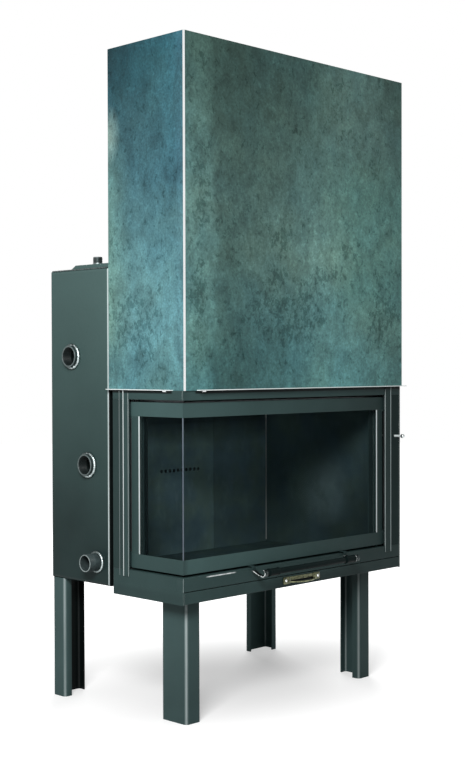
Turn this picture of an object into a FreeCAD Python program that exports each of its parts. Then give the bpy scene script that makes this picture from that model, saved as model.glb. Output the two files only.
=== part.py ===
import FreeCAD, Part
import math
import os

V = FreeCAD.Vector

# Corner boiler fireplace with a lifting corner door. Sizes are in millimetres.
# It is laid out from the front left corner of the surround frame: X runs right, Y runs back,
# Z runs up from the floor. The finished pieces are moved so that the origin is under the middle.

# Stand
stand_height = 323.0
leg_web = 96.0
leg_flange = 54.0
leg_lip = 25.0
leg_short_flange = 24.0
leg_sheet = 4.0
leg_bend_radius = 11.0
front_leg_setback = 34.5
front_left_leg_inset = 42.0
front_right_leg_inset = 101.0
rear_leg_side_inset = 3.0

# Surround frame
frame_width = 900.0
frame_return = 273.0
frame_sheet = 4.0
apron_drop = 4.0
base_sheet = 4.0
base_notch = 40.0
drawer_space = 26.0
sill_height = 36.0
sill_depth = 25.0
sill_wall = 3.0
opening_height = 452.0
top_rail_height = 25.0
left_stile_width = 64.0
right_stile_width = 73.5
left_moulding_width = 19.0
right_moulding_width = 24.5
moulding_relief = 2.0
moulding_drop = 17.0

# Hood, as wide as the frame but set slightly right and forward of it
hood_shift_right = 4.0
hood_shift_forward = 3.5
hood_back_recess = 20.5
hood_height = 911.0
hood_sheet = 2.0
hood_lip = 12.0
lip_notch_front = 42.0
lip_notch_left = 42.0
lip_overrun = 8.0
corner_strip_leg = 4.0
corner_strip_sheet = 1.0

# Boiler body
boiler_gap = 2.0
boiler_lift = 11.0
boiler_right_inset = 10.0
boiler_depth = 252.0
boiler_height = 861.0
boiler_sheet = 4.0
boiler_edge_radius = 9.0
side_jacket = 42.0
back_jacket = 41.0

# Flue, exchanger and inspection cover
flue_bore = 200.0
flue_wall = 3.0
flue_height = 60.0
tube_diameter = 42.0
tube_wall = 3.0
tube_pitch = 62.0
tube_row_pitch = 80.0
tube_rows = 2
tube_columns = 3
tube_height = 660.0
cover_width = 296.0
cover_depth = 164.0
cover_bevel = 22.0
cover_thickness = 12.0
cover_side_inset = 4.0
cover_front_inset = 1.0
cover_screw_inset = 18.0
screw_diameter = 10.0
screw_head_diameter = 16.0
screw_head_height = 7.0
screw_clearance = 0.5
screw_socket_width = 8.0
screw_socket_depth = 4.0
vent_diameter = 26.9
vent_bore = 21.6
vent_height = 23.0
vent_from_side = 45.0
vent_from_front = 96.0

# Pipe fittings on the left side, placed from the boiler's lower front corner
socket_diameter = 60.0
socket_bore = 47.8
socket_length = 36.0
socket_reach = 16.0
upper_socket_back = 152.0
upper_socket_height = 622.0
middle_socket_back = 85.0
middle_socket_height = 325.0
nipple_diameter = 48.3
nipple_bore = 41.9
nipple_length = 62.0
nipple_reach = 44.0
nipple_back = 50.0
nipple_height = 62.5
weld_ring_width = 4.5
weld_ring_thickness = 4.0

# Firebox
lining = 12.0
hearth_sheet = 6.0
lining_height = 546.0
centre_panel_width = 288.0
centre_panel_offset = 7.0
panel_joint = 1.0
air_hole_diameter = 8.0
air_hole_pitch = 17.0
air_hole_count = 10
air_hole_height = 253.0
baffle_depth = 170.0
throat_drop = 9.0
throat_rise = 125.0
throat_sheet = 4.0
grate_width = 300.0
grate_depth = 150.0
grate_rim = 8.0
grate_rim_height = 4.0
grate_bar = 10.0
grate_gap = 10.0
grate_front = 125.0
grate_clearance = 1.0

# Lifting door
door_recess = 8.0
door_depth = 22.0
door_end_gap = 6.5
door_side_gap = 2.0
door_rail = 37.5
door_stile = 29.0
door_lip = 11.0
door_lip_sheet = 2.0
door_tube_wall = 3.0
glass_thickness = 5.0
seal_width = 8.0
seal_thickness = 7.0
seal_clearance = 0.5
seal_frame_width = 26.0
seal_frame_sheet = 4.0

# Lift handle
handle_length = 378.0
handle_diameter = 16.0
handle_standoff = 45.0
handle_drop = 16.5
handle_offset = -3.0
bracket_width = 14.0
bracket_sheet = 4.0
bracket_foot = 12.0
bracket_foot_drop = 2.0
bracket_shelf = 2.0
bracket_knee_run = 10.0
bracket_knee_fall = 9.0
ferrule_wall = 3.0
ferrule_length = 40.0
ferrule_clearance = 0.1

# Lift mechanism in the hood
guide_rail = 10.0
guide_clearance = 0.3
guide_offset = 4.0
shoe_wall = 6.0
shoe_height = 40.0
shoe_end_inset = 2.0
right_guide_gap = 22.0
chain_anchor_depth = 4.5
wheel_groove_radius = 22.0
wheel_flange = 7.0
wheel_width = 10.0
wheel_rim = 1.5
wheel_top_inset = 45.0
wheel_hole_diameter = 9.0
wheel_hole_count = 3
axle_diameter = 10.0
axle_clearance = 0.05
bracket_gap = 0.5
wheel_bracket_sheet = 4.0
wheel_bracket_width = 34.0
chain_width = 7.0
chain_thickness = 4.0
chain_clearance = 0.3
chain_wall_gap = 32.0
right_chain_setback = 21.0
weight_width = 60.0
weight_depth = 46.0
weight_height = 280.0
weight_drop = 35.0

# Ash drawer
drawer_front_clearance = 0.5
drawer_front_top_gap = 2.0
drawer_front_bottom_gap = 2.0
tray_side_gap = 56.0
tray_depth = 281.0
tray_height = 21.7
tray_sheet = 1.5
tray_clearance = 0.3
pull_spacing = 122.0
pull_rise = 3.0
pull_projection = 29.0
pull_strip = 5.0
pull_height = 12.0
pull_foot = 26.0
pull_foot_height = 18.0
pull_foot_sheet = 3.0

# Air control
air_rod_diameter = 7.0
air_rod_inset = 26.0
air_rod_height = 328.5
air_rod_reach = 24.0
air_rod_clearance = 0.1
air_knob_diameter = 13.0
air_flap_side = 40.0
air_flap_sheet = 3.0
air_flap_setback = 200.0
air_flap_clearance = 0.3
air_port_diameter = 30.0
bulkhead_height = 160.0

# Levels and planes that the pieces share
apron_bottom = stand_height - apron_drop
base_top = stand_height + base_sheet
sill_bottom = base_top + drawer_space
sill_top = sill_bottom + sill_height
top_rail_bottom = sill_top + opening_height
hood_bottom = top_rail_bottom + top_rail_height
hood_top = hood_bottom + hood_height
stile_edge_y = frame_return - left_stile_width
right_casing_x = frame_width - frame_sheet
stile_edge_x = frame_width - right_stile_width
hood_left_x = hood_shift_right
hood_right_x = hood_left_x + frame_width
hood_front_y = -hood_shift_forward
hood_back_y = frame_return + hood_back_recess
boiler_left_x = hood_left_x
boiler_right_x = frame_width - boiler_right_inset
boiler_middle = (boiler_left_x + boiler_right_x) / 2
boiler_front = hood_back_y + boiler_gap
boiler_back = boiler_front + boiler_depth
boiler_bottom = stand_height + boiler_lift
boiler_top = boiler_bottom + boiler_height
chamber_left = boiler_left_x + side_jacket
chamber_right = boiler_right_x - side_jacket
chamber_back = boiler_back - back_jacket
hearth_top = sill_bottom + hearth_sheet
lining_top = hearth_top + lining_height
door_bottom = sill_top + door_end_gap
door_top = top_rail_bottom - door_end_gap
door_right = stile_edge_x - door_side_gap
door_left_end = stile_edge_y - door_side_gap
door_back = door_recess + door_depth
door_height = door_top - door_bottom
rail_body = door_rail - door_lip
glass_plane = door_recess + door_lip_sheet
seal_frame_front = door_back + seal_thickness + seal_clearance
seal_frame_back = seal_frame_front + seal_frame_sheet
throat_start = top_rail_bottom - throat_drop
handle_middle = frame_width / 2 + handle_offset
chain_radius = wheel_groove_radius + chain_clearance + chain_thickness / 2
wheel_axis_z = hood_top - wheel_top_inset
weight_top = wheel_axis_z - weight_drop
shoe_top = door_top - shoe_end_inset
left_chain_x = hood_left_x + hood_sheet + chain_wall_gap
right_chain_x = hood_right_x - hood_sheet - chain_wall_gap
left_chain_y = stile_edge_y + guide_offset + guide_rail / 2
right_chain_y = door_recess + right_chain_setback
left_rail_x = door_recess + shoe_wall
left_rail_y = stile_edge_y + guide_offset
right_rail_x = door_right + right_guide_gap
right_rail_y = door_recess + shoe_wall
air_rod_x = frame_width - air_rod_inset
air_rod_z = sill_top + air_rod_height


def block(x, y, z):
    """Box between the two limits given along each axis."""
    return Part.makeBox(x[1] - x[0], y[1] - y[0], z[1] - z[0], V(x[0], y[0], z[0]))


def prism(points, direction):
    """Straight extrusion of a flat polygon."""
    return Part.Face(Part.makePolygon(points + points[:1])).extrude(direction)


def rod(start, direction, diameter, length):
    """Round bar from a start point along a direction."""
    return Part.makeCylinder(diameter / 2, length, start, direction)


def pipe(start, direction, outer, bore, length):
    """Round bar with a hole right through it."""
    return rod(start, direction, outer, length).cut(rod(start, direction, bore, length))


def round_upright_edges(shape, corners, radius):
    """Fillet of the upright edges that stand at the given plan points."""
    def stands_at(edge, corner):
        points = [vertex.Point for vertex in edge.Vertexes]
        return all(math.hypot(p.x - corner[0], p.y - corner[1]) < 0.01 for p in points)
    edges = [edge for edge in shape.Edges for corner in corners if stands_at(edge, corner)]
    return shape.makeFillet(radius, edges)


def mirrored(shape, plane_x):
    """Mirror image across an upright plane that faces left and right."""
    return shape.mirror(V(plane_x, 0, 0), V(1, 0, 0))


def throat_height(y):
    """Height of the throat plate's underside at a distance from the front."""
    run = boiler_front - seal_frame_back
    return throat_start + throat_rise * (y - seal_frame_back) / run


def leg(height):
    """Folded channel leg: lip, long flange in front, web on the left, short flange behind."""
    outer = [(leg_flange, leg_lip), (leg_flange, 0), (0, 0), (0, leg_web), (leg_short_flange, leg_web)]
    inner = [
        (leg_short_flange, leg_web - leg_sheet),
        (leg_sheet, leg_web - leg_sheet),
        (leg_sheet, leg_sheet),
        (leg_flange - leg_sheet, leg_sheet),
        (leg_flange - leg_sheet, leg_lip),
    ]
    channel = prism([V(x, y, 0) for x, y in outer + inner], V(0, 0, height))
    channel = round_upright_edges(channel, outer[1:4], leg_bend_radius)
    return round_upright_edges(channel, inner[1:4], leg_bend_radius - leg_sheet)


def front_legs():
    left = leg(stand_height)
    left.translate(V(front_left_leg_inset, front_leg_setback, 0))
    right = mirrored(leg(stand_height), 0)
    right.translate(V(frame_width - front_right_leg_inset, front_leg_setback, 0))
    return Part.makeCompound([left, right])


def rear_legs():
    """Rear pair, turned so that the web stands at the back and the long flange at the side."""
    left = leg(boiler_bottom)
    left.rotate(V(0, 0, 0), V(0, 0, 1), -90)
    left.translate(V(boiler_left_x + rear_leg_side_inset, boiler_back, 0))
    return Part.makeCompound([left, mirrored(left, boiler_middle)])


def base_plate():
    """Plate over the front legs, notched at the back left so that it ends behind the apron."""
    front_edge = frame_sheet + drawer_front_clearance
    z = (stand_height, base_top)
    plate = block((frame_sheet, right_casing_x), (front_edge, boiler_front), z)
    return plate.cut(block((frame_sheet, frame_sheet + base_notch), (frame_return, boiler_front), z))


def left_apron():
    return block((0, frame_sheet), (0, frame_return), (apron_bottom, sill_bottom))


def right_casing():
    """Plain side sheet on the wall side, with the boiler standing behind it."""
    return block((right_casing_x, frame_width), (0, boiler_front), (apron_bottom, hood_bottom))


def sills():
    """Box tubes under the door, along the front, closed at the corner, and along the left side."""
    z = (sill_bottom, sill_top)
    hollow_z = (sill_bottom + sill_wall, sill_top - sill_wall)
    hollow_depth = (sill_wall, sill_depth - sill_wall)
    front = block((0, right_casing_x), (0, sill_depth), z)
    front = front.cut(block((sill_wall, right_casing_x), hollow_depth, hollow_z))
    left = block((0, sill_depth), (sill_depth, frame_return), z)
    left = left.cut(block(hollow_depth, (sill_depth, frame_return), hollow_z))
    return Part.makeCompound([front, left])


def top_rails():
    """Flat bars over the door, along the front and the left side."""
    z = (top_rail_bottom, hood_bottom)
    front = block((0, right_casing_x), (0, frame_sheet), z)
    left = block((0, frame_sheet), (frame_sheet, frame_return), z)
    return Part.makeCompound([front, left])


def left_stile():
    return block((0, frame_sheet), (stile_edge_y, frame_return), (sill_top, top_rail_bottom))


def right_stile():
    plate = block((stile_edge_x, right_casing_x), (0, frame_sheet), (sill_top, top_rail_bottom))
    hole = rod(
        V(air_rod_x, 0, air_rod_z), V(0, 1, 0), air_rod_diameter + 2 * air_rod_clearance, frame_sheet
    )
    return plate.cut(hole)


def stile_mouldings():
    """Raised strips on the stiles, close to the door."""
    height = (sill_top - moulding_drop, hood_bottom)
    left = block((-moulding_relief, 0), (stile_edge_y, stile_edge_y + left_moulding_width), height)
    right = block((stile_edge_x, stile_edge_x + right_moulding_width), (-moulding_relief, 0), height)
    return Part.makeCompound([left, right])


def hood_front():
    """Front sheet; its lower edge is folded out, short of the corner, and rests on the top rail."""
    y = (hood_front_y, hood_front_y + hood_sheet)
    sheet = block((hood_left_x, hood_right_x), y, (hood_bottom, hood_top))
    fold = (hood_bottom, hood_bottom + hood_sheet)
    lip_left = hood_left_x + lip_notch_front
    lip = block((lip_left, hood_right_x + lip_overrun), (y[0] - hood_lip, y[1]), fold)
    seat = block((lip_left, hood_right_x - hood_sheet), (y[0], frame_sheet), fold)
    return sheet.multiFuse([lip, seat]).removeSplitter()


def hood_left():
    """Left sheet; its lower edge is folded out, short of the corner, and rests on the top rail."""
    x = (hood_left_x, hood_left_x + hood_sheet)
    sheet = block(x, (hood_front_y + hood_sheet, hood_back_y), (hood_bottom, hood_top))
    lip = block(
        (hood_left_x - hood_lip, hood_left_x + hood_sheet),
        (hood_front_y + lip_notch_left, hood_back_y),
        (hood_bottom, hood_bottom + hood_sheet),
    )
    return sheet.fuse(lip).removeSplitter()


def hood_right():
    x = (hood_right_x - hood_sheet, hood_right_x)
    return block(x, (hood_front_y + hood_sheet, hood_back_y), (hood_bottom, hood_top))


def hood_back():
    """Back sheet, cut out at its lower edge for the smoke throat."""
    y = (hood_back_y - hood_sheet, hood_back_y)
    sheet = block((hood_left_x + hood_sheet, hood_right_x - hood_sheet), y, (hood_bottom, hood_top))
    throat = (hood_bottom, throat_height(boiler_front) + 2 * throat_sheet)
    return sheet.cut(block((chamber_left, chamber_right), y, throat))


def hood_top_panel():
    return block(
        (hood_left_x + hood_sheet, hood_right_x - hood_sheet),
        (hood_front_y + hood_sheet, hood_back_y - hood_sheet),
        (hood_top - hood_sheet, hood_top),
    )


def hood_corner_strip():
    """Bright angle strip on the hood's front left corner."""
    z = (hood_bottom, hood_top)
    outer = V(hood_left_x - corner_strip_sheet, hood_front_y - corner_strip_sheet, 0)
    front = block((outer.x, outer.x + corner_strip_leg), (outer.y, hood_front_y), z)
    side = block((outer.x, hood_left_x), (outer.y, outer.y + corner_strip_leg), z)
    return front.fuse(side).removeSplitter()


def side_pan():
    """Left outer pan of the water jacket: rounded at its outer edges, open towards the fire."""
    y = (boiler_front, boiler_back)
    z = (boiler_bottom, boiler_top)
    pan = block((boiler_left_x, chamber_left), y, z)
    outer_edges = [edge for edge in pan.Edges if edge.BoundBox.XMax < boiler_left_x + 0.01]
    pan = pan.makeFillet(boiler_edge_radius, outer_edges)
    hollow = block(
        (boiler_left_x + boiler_sheet, chamber_left),
        (y[0] + boiler_sheet, y[1] - boiler_sheet),
        (z[0] + boiler_sheet, z[1] - boiler_sheet),
    )
    inner_face_x = boiler_left_x + boiler_sheet
    inner_edges = [edge for edge in hollow.Edges if edge.BoundBox.XMax < inner_face_x + 0.01]
    return pan.cut(hollow.makeFillet(boiler_edge_radius - boiler_sheet, inner_edges))


def fitting_place(back, height):
    return V(boiler_left_x, boiler_front + back, boiler_bottom + height)


def boiler_left():
    pan = side_pan()
    fittings = [
        (upper_socket_back, upper_socket_height, socket_diameter),
        (middle_socket_back, middle_socket_height, socket_diameter),
        (nipple_back, nipple_height, nipple_diameter),
    ]
    for back, height, diameter in fittings:
        pan = pan.cut(rod(fitting_place(back, height), V(1, 0, 0), diameter, 2 * boiler_sheet))
    for x, y in cover_screw_places():
        if x < chamber_left:
            pan = pan.cut(screw_hole(x, y))
    return pan


def boiler_right():
    return mirrored(side_pan(), boiler_middle)


def boiler_back_plate():
    return block(
        (chamber_left, chamber_right), (boiler_back - boiler_sheet, boiler_back), (boiler_bottom, boiler_top)
    )


def boiler_bottom_plate():
    return block(
        (chamber_left, chamber_right),
        (boiler_front, boiler_back - boiler_sheet),
        (boiler_bottom, boiler_bottom + boiler_sheet),
    )


def flue_centre():
    return V(boiler_middle, (boiler_front + chamber_back) / 2, boiler_top - boiler_sheet)


def boiler_top_plate():
    plate = block(
        (chamber_left, chamber_right),
        (boiler_front, boiler_back - boiler_sheet),
        (boiler_top - boiler_sheet, boiler_top),
    )
    plate = plate.cut(rod(flue_centre(), V(0, 0, 1), flue_bore + 2 * flue_wall, boiler_sheet))
    for x, y in cover_screw_places():
        if x > chamber_left:
            plate = plate.cut(screw_hole(x, y))
    return plate


def flue_collar():
    return pipe(
        flue_centre(), V(0, 0, 1), flue_bore + 2 * flue_wall, flue_bore, flue_height + boiler_sheet
    )


def tube_places():
    """Start points of the exchanger tubes on the left liner."""
    middle = (boiler_front + boiler_sheet + chamber_back) / 2
    first = middle - tube_pitch * (tube_columns - 1) / 2
    return [
        V(chamber_left, first + column * tube_pitch, boiler_bottom + tube_height + row * tube_row_pitch)
        for row in range(tube_rows)
        for column in range(tube_columns)
    ]


def jacket_liners():
    """Inner plates of the water jacket at the left, right and back of the fire."""
    y = (boiler_front + boiler_sheet, boiler_back - boiler_sheet)
    z = (boiler_bottom + boiler_sheet, boiler_top - boiler_sheet)
    left = block((chamber_left - boiler_sheet, chamber_left), y, z)
    for place in tube_places():
        hole = rod(place - V(boiler_sheet, 0, 0), V(1, 0, 0), tube_diameter - 2 * tube_wall, boiler_sheet)
        left = left.cut(hole)
    right = mirrored(left, boiler_middle)
    back = block((chamber_left, chamber_right), (chamber_back, chamber_back + boiler_sheet), z)
    return Part.makeCompound([left, right, back])


def exchanger_tubes():
    length = chamber_right - chamber_left
    bore = tube_diameter - 2 * tube_wall
    return Part.makeCompound([pipe(p, V(1, 0, 0), tube_diameter, bore, length) for p in tube_places()])


def cover_limits():
    left = boiler_left_x + cover_side_inset
    x = (left, left + cover_width)
    y = (boiler_front + cover_front_inset, boiler_front + cover_front_inset + cover_depth)
    return x, y


def cover_screw_places():
    x, y = cover_limits()
    back = y[1] - cover_bevel - cover_screw_inset
    return [
        (place_x, place_y)
        for place_x in (x[0] + cover_screw_inset, x[1] - cover_screw_inset)
        for place_y in (y[0] + cover_screw_inset, back)
    ]


def screw_hole(x, y):
    """Hole for a cover screw through the cover and the plate under it, with room for its sunk head."""
    up = V(0, 0, 1)
    top = boiler_top + cover_thickness
    shank = rod(
        V(x, y, boiler_top - boiler_sheet),
        up,
        screw_diameter + 2 * screw_clearance,
        boiler_sheet + cover_thickness,
    )
    head = rod(
        V(x, y, top - screw_head_height), up, screw_head_diameter + 2 * screw_clearance, screw_head_height
    )
    return shank.fuse(head)


def inspection_cover():
    """Thick cover on the boiler, sloped along its rear edge."""
    x, y = cover_limits()
    top = boiler_top + cover_thickness
    profile = [
        V(x[0], y[0], boiler_top),
        V(x[0], y[1], boiler_top),
        V(x[0], y[1] - cover_bevel, top),
        V(x[0], y[0], top),
    ]
    cover = prism(profile, V(cover_width, 0, 0))
    for place_x, place_y in cover_screw_places():
        cover = cover.cut(screw_hole(place_x, place_y))
    vent = vent_place() - V(0, 0, cover_thickness)
    return cover.cut(rod(vent, V(0, 0, 1), vent_bore, cover_thickness))


def cover_screws():
    """Socket head screws that hold the cover down, sunk flush with its top."""
    up = V(0, 0, 1)
    top = boiler_top + cover_thickness
    corner = screw_socket_width / math.sqrt(3)
    angles = [math.radians(60 * step) for step in range(6)]
    screws = []
    for x, y in cover_screw_places():
        shank = rod(V(x, y, boiler_top - boiler_sheet), up, screw_diameter, boiler_sheet + cover_thickness)
        head = rod(V(x, y, top - screw_head_height), up, screw_head_diameter, screw_head_height)
        floor = top - screw_socket_depth
        points = [V(x + corner * math.cos(a), y + corner * math.sin(a), floor) for a in angles]
        socket = prism(points, V(0, 0, screw_socket_depth))
        screws.append(shank.fuse(head).removeSplitter().cut(socket))
    return Part.makeCompound(screws)


def vent_place():
    return V(boiler_left_x + vent_from_side, boiler_front + vent_from_front, boiler_top + cover_thickness)


def vent_nipple():
    return pipe(vent_place(), V(0, 0, 1), vent_diameter, vent_bore, vent_height)


def fitting(place, outer, bore, reach, length):
    """Pipe fitting through the left pan, with a weld ring on the outer face."""
    body = rod(place - V(reach, 0, 0), V(1, 0, 0), outer, length)
    ring = rod(
        place - V(weld_ring_thickness, 0, 0), V(1, 0, 0), outer + 2 * weld_ring_width, weld_ring_thickness
    )
    return body.fuse(ring).removeSplitter().cut(rod(place - V(reach, 0, 0), V(1, 0, 0), bore, length))


def pipe_sockets():
    """Two equal sockets for the flow and the safety circuit."""
    places = [
        fitting_place(upper_socket_back, upper_socket_height),
        fitting_place(middle_socket_back, middle_socket_height),
    ]
    sockets = [fitting(p, socket_diameter, socket_bore, socket_reach, socket_length) for p in places]
    return Part.makeCompound(sockets)


def lower_nipple():
    place = fitting_place(nipple_back, nipple_height)
    return fitting(place, nipple_diameter, nipple_bore, nipple_reach, nipple_length)


def smoke_chamber_plates():
    """Sloped throat over the fire, its left cheek, and the plate in front of the exchanger."""
    upper = throat_height(boiler_front)
    profile = [
        V(chamber_left, seal_frame_back, throat_start),
        V(chamber_left, boiler_front, upper),
        V(chamber_left, boiler_front, upper + throat_sheet),
        V(chamber_left, seal_frame_back, throat_start + throat_sheet),
    ]
    throat = prism(profile, V(chamber_right - chamber_left, 0, 0))
    cheek_back = stile_edge_y + guide_offset
    cheek_points = [
        V(chamber_left, seal_frame_back, throat_start),
        V(chamber_left, cheek_back, throat_start),
        V(chamber_left, cheek_back, throat_height(cheek_back)),
    ]
    cheek = prism(cheek_points, V(lining, 0, 0))
    front = block(
        (chamber_left, chamber_right),
        (boiler_front, boiler_front + boiler_sheet),
        (upper, boiler_top - boiler_sheet),
    )
    return Part.makeCompound([throat, cheek, front])


def side_linings():
    """Fire walls at the left and the right; the right one is cut back under the throat's slope."""
    left_start = stile_edge_y + guide_offset
    left = block((chamber_left, chamber_left + lining), (left_start, chamber_back), (hearth_top, lining_top))
    start = seal_frame_back
    step = start + (lining_top - throat_start) * (boiler_front - start) / throat_rise
    outline = [
        V(chamber_right - lining, start, hearth_top),
        V(chamber_right - lining, chamber_back, hearth_top),
        V(chamber_right - lining, chamber_back, lining_top),
        V(chamber_right - lining, step, lining_top),
        V(chamber_right - lining, start, throat_start),
    ]
    right = prism(outline, V(lining, 0, 0))
    return Part.makeCompound([left, right])


def back_linings():
    """Three panels on the back wall; the middle one has a row of air holes."""
    middle = (chamber_left + chamber_right) / 2 + centre_panel_offset
    edges = [
        chamber_left + lining,
        middle - centre_panel_width / 2,
        middle + centre_panel_width / 2,
        chamber_right - lining,
    ]
    y = (chamber_back - lining, chamber_back)
    panels = []
    for left, right in zip(edges, edges[1:]):
        panels.append(block((left, right - panel_joint), y, (hearth_top, lining_top)))
    row_start = middle - air_hole_pitch * (air_hole_count - 1) / 2
    for number in range(air_hole_count):
        place = V(row_start + number * air_hole_pitch, y[0], hearth_top + air_hole_height)
        panels[1] = panels[1].cut(rod(place, V(0, 1, 0), air_hole_diameter, lining))
    return Part.makeCompound(panels)


def grate_limits():
    middle = (chamber_left + chamber_right) / 2
    x = (middle - grate_width / 2, middle + grate_width / 2)
    return x, (grate_front, grate_front + grate_depth)


def hearth_plates():
    """Fire floor: a wide plate in front with the grate's opening, and a plate inside the boiler."""
    z = (sill_bottom, hearth_top)
    front = block((sill_depth, chamber_right), (sill_depth, boiler_front), z)
    (left, right), (near, far) = grate_limits()
    gap = grate_clearance
    front = front.cut(block((left - gap, right + gap), (near - gap, far + gap), z))
    rear = block((chamber_left, chamber_right), (boiler_front, chamber_back), z)
    return Part.makeCompound([front, rear])


def ash_grate():
    """Cast grate that drops into the hearth and hangs on its rim."""
    (left, right), (near, far) = grate_limits()
    body = block((left, right), (near, far), (sill_bottom, hearth_top))
    rim = block(
        (left - grate_rim, right + grate_rim),
        (near - grate_rim, far + grate_rim),
        (hearth_top, hearth_top + grate_rim_height),
    )
    grate = body.fuse(rim).removeSplitter()
    pitch = grate_bar + grate_gap
    count = int((grate_width - grate_bar) // pitch)
    first = left + (grate_width - count * pitch + grate_bar) / 2
    for number in range(count):
        start = first + number * pitch
        slot = block(
            (start, start + grate_gap),
            (near + grate_bar, far - grate_bar),
            (sill_bottom, hearth_top + grate_rim_height),
        )
        grate = grate.cut(slot)
    return grate


def smoke_baffle():
    """Loose plate over the fire, carried on the tops of the linings."""
    return block(
        (chamber_left, chamber_right),
        (chamber_back - baffle_depth, chamber_back),
        (lining_top, lining_top + lining),
    )


def seal_frame():
    """Fixed frame behind the door that its rope seal closes against."""
    depth = (seal_frame_front, seal_frame_back)
    top = (throat_start - seal_frame_width, throat_start)
    low = (hearth_top, door_bottom + rail_body)
    right_end = door_right - door_side_gap
    left_end = door_left_end - door_side_gap
    upright = (low[1], top[0])
    return Part.makeCompound([
        block((seal_frame_front, right_end), depth, low),
        block((seal_frame_front, right_end), depth, top),
        block((right_end - seal_frame_width, right_end), depth, upright),
        block(depth, (seal_frame_back, left_end), low),
        block(depth, (seal_frame_back, left_end), top),
        block(depth, (left_end - seal_frame_width, left_end), upright),
    ])


def mitre(shape, keep_front):
    """Cuts a door rail on the diagonal where the front and side rails meet."""
    far = door_back + door_depth
    near = door_recess - door_depth
    low = door_bottom - door_depth
    third = V(near, far, low) if keep_front else V(far, near, low)
    wedge = prism([V(near, near, low), V(far, far, low), third], V(0, 0, door_height + 2 * door_depth))
    return shape.cut(wedge)


def rail_section(z_outer, direction):
    """Section of a door rail across its depth: a box tube with a lip in front of the glass."""
    body = z_outer + direction * rail_body
    edge = z_outer + direction * door_rail
    outer = [
        (door_recess, z_outer),
        (door_back, z_outer),
        (door_back, body),
        (glass_plane, body),
        (glass_plane, edge),
        (door_recess, edge),
    ]
    wall = door_tube_wall
    hollow = [
        (door_recess + wall, z_outer + direction * wall),
        (door_back - wall, z_outer + direction * wall),
        (door_back - wall, body - direction * wall),
        (door_recess + wall, body - direction * wall),
    ]
    return outer, hollow


def door_rail_pair(z_outer, direction):
    """Front and side rail at the top or the bottom of the door, mitred at the corner."""
    outer, hollow = rail_section(z_outer, direction)
    solid_corner = door_back + door_tube_wall
    front_length = door_right - door_recess
    front = prism([V(door_recess, d, z) for d, z in outer], V(front_length, 0, 0))
    front = front.cut(prism([V(solid_corner, d, z) for d, z in hollow], V(front_length, 0, 0)))
    side_length = door_left_end - door_recess
    side = prism([V(d, door_recess, z) for d, z in outer], V(0, side_length, 0))
    side = side.cut(prism([V(d, solid_corner, z) for d, z in hollow], V(0, side_length, 0)))
    return Part.makeCompound([mitre(front, True), mitre(side, False)])


def door_bottom_rails():
    return door_rail_pair(door_bottom, 1)


def door_top_rails():
    return door_rail_pair(door_top, -1)


def stile_heights():
    """Heights of a door stile's body and of its face."""
    body = (door_bottom + rail_body, door_top - rail_body)
    face = (door_bottom + door_rail, door_top - door_rail)
    return body, face


def door_right_stile_bar():
    """Box stile at the right end of the door, with a lip in front of the glass."""
    body_z, face_z = stile_heights()
    wall = door_tube_wall
    face_left = door_right - door_stile
    body_left = face_left + door_lip
    body = block((body_left, door_right), (glass_plane, door_back), body_z)
    face = block((face_left, door_right), (door_recess, glass_plane), face_z)
    hollow = block((body_left + wall, door_right - wall), (glass_plane + wall, door_back - wall), body_z)
    return body.fuse(face).removeSplitter().cut(hollow)


def door_left_stile_bar():
    """Box stile at the rear end of the door's left side, with a lip in front of the glass."""
    body_z, face_z = stile_heights()
    wall = door_tube_wall
    face_front = door_left_end - door_stile
    body_front = face_front + door_lip
    body = block((glass_plane, door_back), (body_front, door_left_end), body_z)
    face = block((door_recess, glass_plane), (face_front, door_left_end), face_z)
    hollow = block((glass_plane + wall, door_back - wall), (body_front + wall, door_left_end - wall), body_z)
    return body.fuse(face).removeSplitter().cut(hollow)


def front_glass():
    right = door_right - door_stile + door_lip
    return block((glass_plane, right), (glass_plane, glass_plane + glass_thickness), stile_heights()[0])


def side_glass():
    back = door_left_end - door_stile + door_lip
    start = glass_plane + glass_thickness
    return block((glass_plane, start), (start, back), stile_heights()[0])


def door_seal():
    """Rope seal on the back of the door frame, in straight runs."""
    depth = (door_back, door_back + seal_thickness)
    low = door_bottom + rail_body / 2
    high = door_top - rail_body / 2
    right = door_right - door_tube_wall - seal_width / 2
    left = door_left_end - door_tube_wall - seal_width / 2
    corner = depth[1]
    half = seal_width / 2
    upright = (low + half, high - half)
    runs = []
    for level in (low, high):
        z = (level - half, level + half)
        runs.append(block((door_back, right + half), depth, z))
        runs.append(block(depth, (corner, left + half), z))
    runs.append(block((right - half, right + half), depth, upright))
    runs.append(block(depth, (left - half, left + half), upright))
    return Part.makeCompound(runs)


def handle_axis():
    """Left end of the lift handle's bar."""
    return V(handle_middle - handle_length / 2, -handle_standoff, door_bottom - handle_drop)


def lift_handle():
    return rod(handle_axis(), V(1, 0, 0), handle_diameter, handle_length)


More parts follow.
